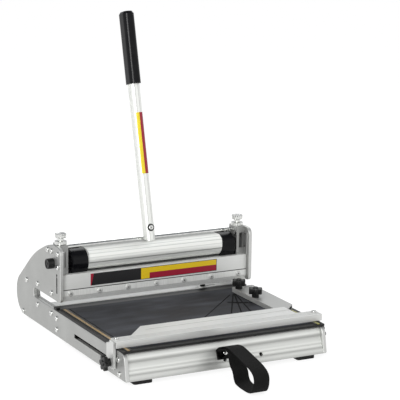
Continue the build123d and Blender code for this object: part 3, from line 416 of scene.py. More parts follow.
def pattern(tree, stretch, scale, detail=2, turned=(0, 0, 0)):
    """Noise in the frame's own metres, turned and then stretched along each axis."""
    place = add_node(tree, "ShaderNodeTexCoord").outputs["Object"]
    for key, value in (("Rotation", turned), ("Scale", stretch)):
        mapping = add_node(tree, "ShaderNodeMapping")
        mapping.inputs[key].default_value = value
        tree.links.new(place, mapping.inputs["Vector"])
        place = mapping.outputs["Vector"]
    noise = add_node(tree, "ShaderNodeTexNoise")
    noise.inputs["Scale"].default_value = scale
    noise.inputs["Detail"].default_value = detail
    tree.links.new(place, noise.inputs["Vector"])
    return noise.outputs["Fac"]

# %% Helpers for colour, gloss and grain
NOISE_LOW, NOISE_HIGH = 0.3, 0.7


def tones(tree, value, dark, light, low=NOISE_LOW, high=NOISE_HIGH):
    """Two colours spread over a pattern's values."""
    return ramp_of(tree, value, ((low, dark), (high, light)))


def spread(tree, value, low, high):
    """A pattern's values carried to a range of numbers."""
    return mapped(tree, value, NOISE_LOW, NOISE_HIGH, low, high)


def paint(tree, shader, colour, marks, smoothest, roughest):
    """Colour from an output, and roughness from a pattern."""
    tree.links.new(colour, shader.inputs["Base Color"])
    tree.links.new(spread(tree, marks, smoothest, roughest), shader.inputs["Roughness"])


def grain(tree, shader, value, strength, depth):
    """Bump from a pattern, with the depth of its marks in metres."""
    bump = add_node(tree, "ShaderNodeBump")
    bump.inputs["Strength"].default_value = strength
    bump.inputs["Distance"].default_value = depth
    tree.links.new(value, bump.inputs["Height"])
    tree.links.new(bump.outputs["Normal"], shader.inputs["Normal"])


def shade(tone):
    """A grey with the faint green warmth of raw aluminium."""
    return (tone, tone * 1.01, tone * 0.985)


def times(colour, factor):
    """A colour made darker or lighter."""
    return tuple(factor * c for c in colour)

# %% [markdown]
# ### Aluminium
# The cutter is mostly aluminium in two finishes. The side plates are cut from sheet and then
# blasted, which leaves a fine even grain; their edges get a painted highlight, and the walls of
# their slots painted shade. The bars are drawn through a die, which leaves faint lines along
# their length. The same recipe serves all drawn pieces, with the lines stretched to run along
# each one.


# %% Mark a place inside a finish
def within(tree, low, high):
    """1 where a point of the surface lies inside a box, and 0 elsewhere."""
    found = 1
    for value, a, b in zip(object_axes(tree), low, high):
        away = reckon(tree, "ABSOLUTE", reckon(tree, "SUBTRACT", value, (a + b) / 2))
        near = reckon(tree, "LESS_THAN", away, (b - a) / 2)
        found = reckon(tree, "MULTIPLY", found, near)
    return found

# %% Blasted plate and drawn bars
FENCE_SLOT = ((-0.2, -0.1180, 0.0252), (0.2, 0.0330, 0.0318))
PIN_SLOT = ((-0.2, 0.1013, 0.0800), (0.2, 0.1055, 0.1120))
FACE_TURN = 0.9
# painted shade for the walls of the fence slot and the pin slot
SLOT_PAINTED_SHADE = shade(0.012)
CLOUD_SHARE = 0.35
ALONG_X = (0.12, 20, 20)
ALONG_Y = (20, 0.12, 20)
ALONG_Z = (20, 20, 0.12)


def blasted_plate():
    material, tree, shader = new_finish("blasted_plate", shade(0.4), 0.45, metallic=0.85)
    cloud = pattern(tree, EVEN, scale=18, detail=4)
    fine = pattern(tree, EVEN, scale=1600)
    colour = tones(tree, cloud, shade(0.40), shade(0.46))
    # Painted highlight: faces that don't face sideways, the plate's edges, get a lighter grey.
    normal = add_node(tree, "ShaderNodeNewGeometry").outputs["Normal"]
    sideways = reckon(tree, "ABSOLUTE", split(tree, normal)[0])
    painted_rim_highlight = reckon(tree, "LESS_THAN", sideways, FACE_TURN)
    colour = tinted(tree, painted_rim_highlight, colour, shade(0.58))
    # Painted shade: the walls of both slots are painted near black.
    for slot_low, slot_high in (FENCE_SLOT, PIN_SLOT):
        colour = tinted(tree, within(tree, slot_low, slot_high), colour, SLOT_PAINTED_SHADE)
    paint(tree, shader, colour, fine, 0.42, 0.56)
    grain(tree, shader, fine, strength=0.35, depth=0.00006)
    return material


def drawn_bar(name, tone, stretch, rough, metallic=0.7):
    material, tree, shader = new_finish(name, shade(tone), rough, metallic)
    lines = pattern(tree, stretch, scale=60, detail=5)
    cloud = pattern(tree, EVEN, scale=9, detail=3)
    faint = reckon(tree, "MULTIPLY", lines, 1 - CLOUD_SHARE)
    mixed = reckon(tree, "MULTIPLY_ADD", cloud, CLOUD_SHARE, faint)
    colour = tones(tree, mixed, shade(tone * 0.9), shade(min(1.0, tone * 1.06)))
    paint(tree, shader, colour, lines, rough - 0.05, rough + 0.1)
    grain(tree, shader, lines, strength=0.15, depth=0.00005)
    return material


plate_metal = blasted_plate()
bar_metal = drawn_bar("drawn_bar", 0.68, ALONG_X, rough=0.34)
beam_metal = drawn_bar("drawn_beam", 0.77, ALONG_X, rough=0.42, metallic=0.35)
fence_metal = drawn_bar("drawn_fence", 0.64, ALONG_X, rough=0.36, metallic=0.5)
guide_metal = drawn_bar("drawn_guide", 0.42, ALONG_Y, rough=0.42, metallic=0.5)
channel_metal = drawn_bar("drawn_channel", 0.36, ALONG_Z, rough=0.36)
ledge_metal = drawn_bar("drawn_ledge", 0.8, ALONG_X, rough=0.4, metallic=0.3)
print("Materials so far:", len(bpy.data.materials))

# %% [markdown]
# ### Painted light and shade on the drawn profiles
# Light and shade fall on the front bar's flutes, the roller's curve and the lever's grooves in
# bands that run from end to end, and these bands are painted into the colour: painted shade
# and highlights on the bar and the lever, and painted reflections and shade on the roller. A
# ColorRamp with a stop for each band makes them: the front bar's bands go by height, the
# roller's by the angle about its axle, and the lever's by the place across it.

# %% Painted light and shade in bands from end to end
LEVER_LEAN = math.radians(14.6)
ALONG_LEVER = (8, 8, 0.05)
BAR_LOW, BAR_HIGH = 0.008, 0.0504
AXLE_Y, AXLE_Z = 0.1190, 0.1271
LEVER_HALF = 0.0085
LINE_SHARE = 0.5
# painted shade and highlights of the front bar's flutes, by height
bar_shade_stops = (
    (0.0, 0.42), (0.08, 0.62), (0.15, 0.76), (0.19, 0.60), (0.24, 0.42), (0.29, 0.88),
    (0.33, 0.84), (0.375, 0.54), (0.42, 0.92), (0.47, 0.72), (0.56, 0.70), (0.61, 0.56),
    (0.66, 0.34), (0.71, 0.66), (0.76, 0.96), (0.81, 0.74), (0.88, 0.76), (0.93, 0.6),
    (1.0, 0.62),
)
# painted reflections and shade round the roller, by the angle about its axle
roller_reflection_stops = (
    (0.0, 0.9), (0.285, 1.0), (0.320, 0.92), (0.334, 0.16), (0.348, 0.92), (0.398, 0.96),
    (0.408, 0.68), (0.418, 0.96), (0.450, 0.96), (0.460, 0.62), (0.470, 0.96), (0.503, 0.95),
    (0.513, 0.60), (0.523, 0.92), (0.556, 0.88), (0.567, 0.52), (0.578, 0.82), (0.620, 0.64),
    (0.650, 0.42), (0.700, 0.38), (0.780, 0.34), (1.0, 0.5),
)
# painted shade of the lever's grooves and edges, across its width
lever_shade_stops = (
    (0.0, 0.84), (0.08, 0.93), (0.27, 0.93), (0.33, 0.62), (0.39, 0.93), (0.61, 0.93),
    (0.67, 0.58), (0.73, 0.93), (0.9, 0.9), (1.0, 0.66),
)


def height_share(tree):
    """From 0 at the front bar's foot to 1 at its top."""
    return mapped(tree, object_axes(tree)[2], BAR_LOW, BAR_HIGH)


def angle_share(tree):
    """From 0 under the axle, by a third in front of it and two thirds over it, to 1 behind."""
    _, back, height = object_axes(tree)
    ahead = reckon(tree, "SUBTRACT", AXLE_Y, back)
    above = reckon(tree, "SUBTRACT", height, AXLE_Z)
    angle = reckon(tree, "ARCTAN2", above, ahead)
    return mapped(tree, angle, -math.pi / 2, math.pi)


def width_share(tree):
    """From 0 on the lever's left side to 1 on its right."""
    return mapped(tree, object_axes(tree)[0], -LEVER_HALF, LEVER_HALF)


def striped(name, stops, value_of, rough, metallic, along=ALONG_X, turned=(0, 0, 0), detail=5,
            bands="LINEAR"):
    """A metal whose tone follows stops of (share, tone) over a value from 0 to 1, as painted light
    and shade.
    """
    material, tree, shader = new_finish(name, shade(0.7), rough, metallic)
    shaded = [(share, shade(tone)) for share, tone in stops]
    painted_bands = ramp_of(tree, value_of(tree), shaded, bands)
    lines = pattern(tree, along, scale=60, detail=detail, turned=turned)
    faint = tones(tree, lines, shade(0.82), shade(1.0))
    colour = tinted(tree, LINE_SHARE, painted_bands, faint, blend="MULTIPLY")
    paint(tree, shader, colour, lines, rough - 0.05, rough + 0.1)
    grain(tree, shader, lines, strength=0.15, depth=0.00005)
    return material


front_metal = striped(
    "fluted_bar_painted_shade", bar_shade_stops, height_share, rough=0.34, metallic=0.6, bands="B_SPLINE",
)
roller_metal = striped("roller_painted_reflection", roller_reflection_stops, angle_share, rough=0.34, metallic=0.35)
lever_metal = striped(
    "lever_painted_shade", lever_shade_stops, width_share, rough=0.32, metallic=0.45,
    along=ALONG_LEVER, turned=(LEVER_LEAN, 0, 0), detail=1,
)
print("Stripes on the bar, roller and lever:", len(bar_shade_stops), len(roller_reflection_stops), len(lever_shade_stops))

# %% [markdown]
# ### Steel
# Adjusters, side screws and the stop rod are bright plated steel, smooth enough to mirror the
# room, and the beam's screws have a duller coat of zinc. The blade is ground, so it has fine
# lines and a duller face, and along its top, where it meets the beam, a painted shadow line.
# The springs are drawn wire. Plating and wire differ only in tone, gloss and the size of their
# marks, and so do moulded plastics and inks further down, so one recipe makes them all.

# %% Even finishes and the ground blade
# where the painted shadow line runs along the blade's top
SEAM_SHADOW = ((-0.2, 0.09, 0.0846), (0.2, 0.11, 0.0865))


def even_finish(name, colour, rough, scale, tone_range, rough_range, detail=2, dents=None,
                metallic=0.0, specular=0.5):
    """A finish whose colour and roughness change a little from place to place."""
    material, tree, shader = new_finish(name, colour, rough, metallic, specular)
    marks = pattern(tree, EVEN, scale, detail)
    dark, light = (times(colour, factor) for factor in tone_range)
    smoother, rougher = rough_range
    paint(tree, shader, tones(tree, marks, dark, light), marks, rough + smoother, rough + rougher)
    if dents:
        grain(tree, shader, marks, *dents)
    return material


def plated(name, tone, rough, metallic):
    return even_finish(
        name, shade(tone), rough, scale=130, detail=3, metallic=metallic,
        tone_range=(0.87, 1.12), rough_range=(-0.05, 0.05),
    )


def ground_blade():
    material, tree, shader = new_finish("ground_blade", shade(0.66), 0.45, metallic=0.35)
    lines = pattern(tree, (20, 20, 0.8), scale=50, detail=4)
    colour = tones(tree, lines, shade(0.78), shade(0.9))
    # Painted shade: a dark line along the blade's top, where it meets the beam.
    colour = tinted(tree, within(tree, *SEAM_SHADOW), colour, shade(0.03))
    paint(tree, shader, colour, lines, 0.4, 0.55)
    grain(tree, shader, lines, strength=0.2, depth=0.00004)
    return material


steel = plated("plated_steel", 0.69, rough=0.15, metallic=1.0)
zinc = plated("zinc_plate", 0.62, rough=0.42, metallic=0.4)
blade_steel = ground_blade()
wire_steel = even_finish(
    "spring_wire", shade(0.4), 0.3, scale=400, metallic=1.0,
    tone_range=(0.75, 1.2), rough_range=(-0.06, 0.08),
)
print("Materials so far:", len(bpy.data.materials))

# %% [markdown]
# ### Plastics and rubber
# Three blacks lie side by side on this tool. The grip and the drums are glossy, the knobs are
# moulded with a satin skin, and the feet and the mat are dull rubber. What tells them apart is
# roughness and grain, far more than colour. The mat is a worn grey with pale smudges, longer
# along the blade than across it.


# %% Blacks, mat and board
def gloss_black():
    material, tree, shader = new_finish("gloss_black", (0.006, 0.006, 0.007), 0.12, specular=0.14)
    ripple = pattern(tree, EVEN, scale=90)
    colour = tones(tree, ripple, (0.003, 0.003, 0.004), (0.007, 0.007, 0.008))
    paint(tree, shader, colour, ripple, 0.11, 0.18)
    grain(tree, shader, ripple, strength=0.08, depth=0.0002)
    return material


def satin_black(name, tone, rough):
    return even_finish(
        name, shade(tone), rough, scale=1100, specular=0.25, dents=(0.3, 0.00008),
        tone_range=(0.85, 1.25), rough_range=(-0.06, 0.08),
    )


def cutting_rubber():
    material, tree, shader = new_finish("cutting_rubber", shade(0.04), 0.72, specular=0.2)
    smudge = pattern(tree, (0.5, 1.6, 1), scale=26, detail=6)
    fine = pattern(tree, EVEN, scale=900)
    colour = tones(tree, smudge, (0.028, 0.029, 0.033), (0.092, 0.097, 0.110), 0.38, 0.85)
    paint(tree, shader, colour, smudge, 0.6, 0.85)
    grain(tree, shader, fine, strength=0.4, depth=0.0001)
    return material


black_gloss = gloss_black()
black_knob = satin_black("knob_black", 0.009, rough=0.3)
black_board = satin_black("board_black", 0.010, rough=0.45)
black_rubber = satin_black("foot_rubber", 0.012, rough=0.7)
dark_nylon = satin_black("dark_nylon", 0.06, rough=0.5)
# black for ink on the mat, and for painted shade in the beam screws' recesses
ink_and_shade_black = satin_black("ink_and_shade_black", 0.003, rough=0.9)
# grey for painted shade in the other screws' recesses
recess_painted_shade = satin_black("recess_painted_shade", 0.06, rough=0.5)
mat_rubber = cutting_rubber()
print("Materials so far:", len(bpy.data.materials))

# %% [markdown]
# ### Printed colours
# The ruler strips are printed foil, golden on the left and a greener yellow on the right, worn
# grey in places and with black margins on both sides. Ink and stickers are thin films over the
# metal, so they get a little gloss and a faint speckle.

# %% Foil and ink
PRINTED_FROM, PRINTED_TO = 0.1640, 0.1684
RULER_REACH, RULER_HEIGHT = 0.5, 0.1


def foil(name, dark, light):
    material, tree, shader = new_finish(name, light, 0.35, metallic=0.35)
    sheen = pattern(tree, (8, 0.6, 8), scale=40, detail=4)
    worn = pattern(tree, (3, 1, 1), scale=24, detail=5)
    printed = tones(tree, sheen, dark, light)
    printed = tinted(tree, spread(tree, worn, 0.0, 0.5), printed, shade(0.26))
    bare = shade(0.012)
    for half, under, over in ((PRINTED_TO, bare, None), (PRINTED_FROM, None, bare)):
        strip = within(tree, (-half, -RULER_REACH, 0), (half, RULER_REACH, RULER_HEIGHT))
        printed = tinted(tree, strip, under or printed, over or printed)
    paint(tree, shader, printed, sheen, 0.3, 0.45)
    return material


def ink(name, colour):
    return even_finish(
        name, colour, 0.35, scale=700, tone_range=(0.9, 1.0), rough_range=(-0.05, 0.07),
    )


gold_foil = foil("gold_foil", (0.36, 0.22, 0.06), (0.52, 0.33, 0.10))
green_foil = foil("green_foil", (0.33, 0.31, 0.04), (0.5, 0.46, 0.06))
black_ink = ink("black_ink", (0.008, 0.008, 0.009))
red_ink = ink("red_ink", (0.33, 0.006, 0.03))
yellow_ink = ink("yellow_ink", (0.8, 0.56, 0.01))
lemon_ink = ink("lemon_ink", (0.9, 0.72, 0.03))
print("Materials so far:", len(bpy.data.materials))

# %% [markdown]
# ## Carry strap
# The strap is one length of black webbing. Both of its ends are folded onto the front bar and
# held by one screw, and the rest lies as a loop on the floor, pushed a little to one side.
# Webbing bends only one way, so the piece starts as a narrow strip whose edge is extruded from
# corner to corner, and the corners are then rounded by a bevel. Solidify gives it its
# thickness, and the weave follows the length of the strip through its own UV map.

# %% Bend the webbing
STRAP_WIDTH = 0.026
STRAP_PLY = 0.0015
SAME_HEIGHT = 0.0001
STRAP_LINE = (
    # sideways drift, Y and Z of the web's middle, in metres
    (-0.0050, -0.15396, 0.02216), (-0.0050, -0.14668, 0.03793),
    (-0.0050, -0.17966, 0.05068), (-0.0058, -0.21128, 0.04609),
    (-0.0078, -0.25952, 0.03842), (-0.0092, -0.27660, 0.03001),
    (-0.0100, -0.27660, 0.01194), (-0.0098, -0.26649, 0.00140),
    (-0.0082, -0.21995, 0.00140), (-0.0074, -0.21096, 0.00726),
    (-0.0066, -0.20623, 0.01784), (-0.0060, -0.19332, 0.02601),
    (-0.0056, -0.18727, 0.04810), (-0.0050, -0.14863, 0.03720),
    (-0.0050, -0.15557, 0.02216),
)
strap = new_piece("webbing_loop", bpy.ops.mesh.primitive_plane_add, size=1, location=(0, 0, 0))
first, second = STRAP_LINE[:2]
ends = [(side, spot) for spot in (first, second) for side in (-1, 1)]
for point, (side, spot) in zip(strap.data.vertices, ends):
    point.co = (spot[0] + side * STRAP_WIDTH / 2, spot[1], spot[2])
pick_edges(strap, lambda a, b: min(a.z, b.z) > second[2] - SAME_HEIGHT)
for here, there in zip(STRAP_LINE[1:], STRAP_LINE[2:]):
    pull(Vector(there) - Vector(here))
leave()
pick_edges(strap, lambda a, b: abs(a.x - b.x) > 0.9 * STRAP_WIDTH)
bpy.ops.mesh.bevel(offset_type="PERCENT", offset_pct=40, segments=8, affect="EDGES")
leave()
print("Webbing strip with", len(strap.data.polygons), "faces")


# %% Measure along the strip and lay its UV map out
def walk_strip(piece):
    """The strip's cross edges in order, each as its left and its right point."""
    mesh = bmesh.new()
    mesh.from_mesh(piece.data)
    mesh.verts.ensure_lookup_table()
    widths = {e: abs(e.verts[0].co.x - e.verts[1].co.x) for e in mesh.edges}
    across = [edge for edge in mesh.edges if widths[edge] > 0.8 * STRAP_WIDTH]
    edge = next(e for e in across if len(e.link_faces) == 1)
    order, done = [edge], set()
    while True:
        face = next((f for f in edge.link_faces if f not in done), None)
        if face is None:
            break
        done.add(face)
        ends_here = set(edge.verts)
        edge = next(e for e in face.edges if not ends_here & set(e.verts))
        order.append(edge)
    rows = [sorted((v.index for v in e.verts), key=lambda i: mesh.verts[i].co.x) for e in order]
    mesh.free()
    return rows


rows = walk_strip(strap)
spots = [strap.data.vertices[left].co.copy() for left, _ in rows]
web_length = 0.0
web_place = {}
for (left, right_point), here, before in zip(rows, spots, spots[:1] + spots):
    web_length += (here - before).length
    web_place[left] = (0.0, web_length)
    web_place[right_point] = (STRAP_WIDTH, web_length)
web_uv = strap.data.uv_layers.new(name="web")
for loop in strap.data.loops:
    web_uv.data[loop.index].uv = web_place[loop.vertex_index]
apply_modifier(strap, "SOLIDIFY", thickness=STRAP_PLY, offset=0.0)
outwards(strap)
print("Webbing is", round(web_length, 4), "m long")

# %% [markdown]
# ### Woven finish
# Webbing is a twill: short slanted ribs in narrow columns, with a tighter rolled edge on both
# sides. Two waves in the strip's own UV map make the columns and the ribs, and their product
# goes to the bump and the colour. Lint and handling make some places greyer.

# %% Weave the finish
# direction, scale and turn of a wave, which goes through 20 radians in a metre at scale 1
COLUMNS = ("X", 330, 0.0)
RIBS = ("Y", 300, 0.62)
WAVE_RADIANS = 20


def webbing_finish():
    material, tree, shader = new_finish("black_webbing", shade(0.004), 0.85, specular=0.08)
    shader.inputs["Sheen Weight"].default_value = 0.02
    shader.inputs["Sheen Roughness"].default_value = 0.5
    place = add_node(tree, "ShaderNodeUVMap", uv_map="web")
    heights = []
    for direction, scale, turned in (COLUMNS, RIBS):
        mapping = add_node(tree, "ShaderNodeMapping")
        mapping.inputs["Rotation"].default_value = (0, 0, turned)
        wave = add_node(tree, "ShaderNodeTexWave", bands_direction=direction)
        wave.inputs["Scale"].default_value = scale
        wave.inputs["Distortion"].default_value = 0.4
        tree.links.new(place.outputs["UV"], mapping.inputs["Vector"])
        tree.links.new(mapping.outputs["Vector"], wave.inputs["Vector"])
        heights.append(wave.outputs["Fac"])
    weave = reckon(tree, "MULTIPLY", *heights)
    lint = pattern(tree, EVEN, scale=60, detail=4)
    dusty = reckon(tree, "ADD", weave, lint)
    colour = tones(tree, dusty, shade(0.004), shade(0.014), 0.4, 1.0)
    paint(tree, shader, colour, lint, 0.74, 0.9)
    grain(tree, shader, weave, strength=0.6, depth=0.0003)
    return material


def wear(piece, *finishes):
    """Gives a piece its finishes and drops any that it came with."""
    piece.data.materials.clear()
    for finish in finishes:
        piece.data.materials.append(finish)


webbing = webbing_finish()
wear(strap, webbing)
smooth(strap, 60)
print("A rib every", round(1000 * math.tau / (WAVE_RADIANS * RIBS[1]), 2), "mm")

# %% [markdown]
# ### Sewn tab
# Over the two ends sits a folded tab, sewn round its border. It starts as a cube as thick as
# two plies, gets its corners rounded, and its face is inset three times to press a stitch line
# in.

# %% Sew the tab
FACE_BACK, FACE_HEIGHT = 0.018, 0.039
FACE_LEAN = math.atan2(FACE_BACK, FACE_HEIGHT)
face_normal = Vector((0, -math.cos(FACE_LEAN), math.sin(FACE_LEAN)))
face_up = Vector((0, math.sin(FACE_LEAN), math.cos(FACE_LEAN)))
TAB_MIDDLE = Vector((-0.005, -0.149434, 0.02984))
TAB_HEIGHT = 0.0146
TAB_HEM = 0.001
TAB_CORNER = 0.002
STITCH_IN, STITCH = 0.0022, 0.0004
tab = block("sewn_tab", (STRAP_WIDTH + TAB_HEM, TAB_HEIGHT, 2 * STRAP_PLY))
round_edges(tab, lambda a, b: abs(a.z - b.z) > STRAP_PLY, TAB_CORNER, segments=3)
press(tab, faces_up, (STITCH_IN, 0), (STITCH, -STITCH), (STITCH, STITCH))
soften(tab, STITCH)
lean = laid_along(Vector((1, 0, 0)), face_up, face_normal)
tab.data.transform(Matrix.Translation(TAB_MIDDLE + 2 * STRAP_PLY * face_normal) @ lean)
wear(tab, webbing)
smooth(tab, 40)
hand_over(strap, "frame", "webbing", "carry_strap")
hand_over(tab, "frame", "webbing")
print("Tab with", len(tab.data.polygons), "faces")

# %% [markdown]
# ## Screws
# Almost forty screws hold the tool together, all of one kind: a low round head with a cross
# recess. The head starts as a cylinder, its rim is rounded with a bevel, and two tapered bars
# are cut out of it for the recess, whose faces are painted dark as shade. Where each screw sits
# comes from the CAD model, by finding the separate solids in its nodes.


# %% Helpers for turning, cutting and joining
def cylinder(name, sides, radius, depth, low=0.0, spot=(0, 0), spin=0.0):
    """An upright cylinder that stands at a height over a spot."""
    return new_piece(
        name, bpy.ops.mesh.primitive_cylinder_add, vertices=sides, radius=radius,
        depth=depth, location=(*spot, low + depth / 2), rotation=(0, 0, spin),
    )


def join(pieces, name):
    """Makes several pieces one."""
    drop_selection()
    for piece in pieces:
        piece.select_set(True)
    bpy.context.view_layer.objects.active = pieces[0]
    bpy.ops.object.join()
    whole = bpy.context.object
    whole.name = name
    whole.data.name = name
    return whole


def cut_with(piece, cutter, operation="DIFFERENCE"):
    """Cuts a second piece out of a first, or adds it, and then deletes the second."""
    apply_modifier(piece, "BOOLEAN", operation=operation, object=cutter, solver="EXACT")
    bpy.data.objects.remove(cutter)


def wear_by_place(piece, finishes, pick_finish):
    """Gives each face the finish that its middle asks for."""
    wear(piece, *finishes)
    for face in piece.data.polygons:
        face.material_index = finishes.index(pick_finish(face.center))

# %% Model one screw of a given size
RIM_SHARE = 0.6
RECESS_LENGTH, RECESS_WIDTH, RECESS_DEPTH = 0.9, 0.18, 1.1
RECESS_TAPER = (0.55, 0.7, 1)
SUNK_LOW, SUNK_HIGH, SUNK_REACH = 0.3, 0.97, 0.52
NEAR_TOP = 0.99
SCREW_SHANK = 0.002


def cross_screw(name, radius, height, shank_length, coat=None, recess=None):
    """A screw at the origin, its head above the XY plane and its shank below."""
    screw = cylinder(name, 28, radius, height)
    pick_faces(screw, faces_down)
    insets((radius - SCREW_SHANK, 0))
    pull((0, 0, -shank_length))
    leave()
    round_edges(
        screw, lambda a, b: min(a.z, b.z) > NEAR_TOP * height, RIM_SHARE * height, segments=4,
    )
    for spin in (0, math.pi / 2):
        arm = block(
            "recess_arm",
            (RECESS_LENGTH * radius, RECESS_WIDTH * radius, RECESS_DEPTH * height),
        )
        pick_faces(arm, faces_down)
        bpy.ops.transform.resize(value=RECESS_TAPER)
        leave()
        arm.data.transform(Matrix.Translation((0, 0, height)) @ Matrix.Rotation(spin, 4, "Z"))
        cut_with(screw, arm)
    # Painted shade: faces deep in the cross recess get the dark recess finish.
    coats = [coat or steel, recess or recess_painted_shade]

    def coat_at(spot):
        deep = SUNK_LOW * height < spot.z < SUNK_HIGH * height
        return coats[1] if deep and spot.xy.length < SUNK_REACH * radius else coats[0]

    wear_by_place(screw, coats, coat_at)
    smooth(screw, 35)
    return screw

# %% Find the places of the screws
SAME_SPOT = 0.000005


def lumps(node):
    """The boxes (low, high) of the separate solids that one CAD node holds, left to right."""
    mesh = bmesh.new()
    mesh.from_mesh(nodes[node].data)
    bmesh.ops.remove_doubles(mesh, verts=mesh.verts, dist=SAME_SPOT)
    boxes, seen_points = [], set()
    for start in mesh.verts:
        if start in seen_points:
            continue
        seen_points.add(start)
        group, waiting = [start], [start]
        while waiting:
            for edge in waiting.pop().link_edges:
                for point in edge.verts:
                    if point not in seen_points:
                        seen_points.add(point)
                        group.append(point)
                        waiting.append(point)
        spots = [point.co for point in group]
        low = Vector([min(spot[i] for spot in spots) for i in range(3)])
        high = Vector([max(spot[i] for spot in spots) for i in range(3)])
        boxes.append((low, high))
    mesh.free()
    return sorted(boxes, key=lambda box: tuple(box[0]))


def stand(low, high, axis, rise):
    """Where a head of some rise sits to fill a box towards an axis, and how long its root is."""
    across = next(i for i in range(3) if abs(axis[i]) > 0.5)
    top, root = (high, low) if axis[across] > 0 else (low, high)
    seat = (low + high) / 2
    seat[across] = top[across] - axis[across] * rise
    return seat, abs(seat[across] - root[across])


def facing(spot, axis, spin=0.0):
    """The place of a piece that was made at the origin with its top towards +Z."""
    turned = Vector(axis).to_track_quat("Z", "Y").to_matrix().to_4x4()
    return Matrix.Translation(Vector(spot)) @ turned @ Matrix.Rotation(spin, 4, "Z")


print("Solids in side_screws_left:", len(lumps("side_screws_left")))

# %% Screw the tool together
SCREW_HEAD = 0.0044
SCREW_RISE = 0.0022
SCREW_SPIN = 0.7


def screw_set(name, node, axis, body, **coats):
    """One screw at each solid of a CAD node, their heads towards an axis."""
    made = []
    for number, (low, high) in enumerate(lumps(node)):
        seat, length = stand(low, high, axis, SCREW_RISE)
        screw = cross_screw("screw", SCREW_HEAD, SCREW_RISE, length, **coats)
        screw.data.transform(facing(seat, axis, SCREW_SPIN * number))
        made.append(screw)
    hand_over(join(made, name), body, "bright_steel", node)
    print(name, "has", len(made), "screws")


for hand, side in SIDES:
    screw_set(f"plate_screws_{hand}", f"side_screws_{hand}", (side, 0, 0), "frame")
# the beam's screws get black painted shade in their recesses
screw_set("beam_screws", "blade_screws", (0, -1, 0), "beam", coat=zinc, recess=ink_and_shade_black)
screw_set("bracket_screws", "fence_screws", (0, 0, 1), "fence")

# %% [markdown]
# ### Screws on a slope
# The lever's screw sits on its leaning front, on a thin black ring that stands for the shade
# round its head, and the strap's screw on the leaning face of the front bar. Both are made like
# the others and then laid on their slope.

# %% The two screws that sit on a slope
LEVER_FOOT = Vector((0, AXLE_Y, AXLE_Z))
lever_along = Vector((0, math.sin(LEVER_LEAN), math.cos(LEVER_LEAN)))
lever_front = Vector((0, -math.cos(LEVER_LEAN), math.sin(LEVER_LEAN)))
LEVER_SCREW_UP, LEVER_SCREW_OUT, LEVER_SCREW_LENGTH = 0.041, 0.0100, 0.003
lever_screw = cross_screw("lever_screw", SCREW_HEAD, SCREW_RISE, LEVER_SCREW_LENGTH)
lever_seat = LEVER_FOOT + LEVER_SCREW_UP * lever_along + LEVER_SCREW_OUT * lever_front
lever_screw.data.transform(facing(lever_seat, lever_front, 0.4))
hand_over(lever_screw, "lever", "bright_steel", "handle_screw")

# Painted shade: a thin black ring under the lever's screw stands for the shadow round its head.
SHADE_RING_RADIUS, SHADE_RING_THICKNESS, SHADE_RING_LOW = 0.0062, 0.0012, -0.0005
SHADE_RING_STEP = ((0.0016, 0), (0.0004, -0.0006))
EDGE_ROUND = 0.0003
shade_ring = cylinder("lever_shade_ring", 32, SHADE_RING_RADIUS, SHADE_RING_THICKNESS, low=SHADE_RING_LOW)
press(shade_ring, faces_up, *SHADE_RING_STEP)
soften(shade_ring, EDGE_ROUND)
shade_ring.data.transform(facing(lever_seat, lever_front))
wear(shade_ring, black_knob)
smooth(shade_ring, 35)
hand_over(shade_ring, "lever", "knob_black")

TAB_SCREW_HEAD, TAB_SCREW_RISE, TAB_SCREW_LENGTH = 0.0038, 0.0016, 0.006
CAD_PLY = 0.0018
tab_screw = cross_screw("tab_screw", TAB_SCREW_HEAD, TAB_SCREW_RISE, TAB_SCREW_LENGTH)
tab_screw.data.transform(facing(TAB_MIDDLE + 3 * CAD_PLY * face_normal, face_normal, 0.5))
hand_over(tab_screw, "frame", "bright_steel", "strap_screw")
print("Lever screw at", [round(v, 4) for v in lever_seat])

# %% [markdown]
# ## Knobs
# Five black star knobs clamp the fence, the angle guide and the rear stop. A star knob is a
# round core with six round lobes, joined by a boolean union, so one recipe with three sizes
# makes them all. A bevel then rounds every edge that a hand would feel, and the crown in the
# middle is dished. The stud is a plain rod of bright steel without a thread, in a second
# material slot.

# %% Model a star knob
LOBES = 6
LOBE_SHARE = 0.28
KNOB_ROUND = 0.13
STUD_RADIUS, STUD_TIP = 0.002, 0.0004
CROWN_SINK, CROWN_TAPER = 0.0004, 0.8
CROWN_RIM, CROWN_DISH = 0.16, 0.1
FOOT_SHARE, FOOT_RIM, FOOT_STEP, FOOT_SINK = 0.5, 0.1, 0.05, 0.0003
FLAT_ANGLE = math.radians(1)


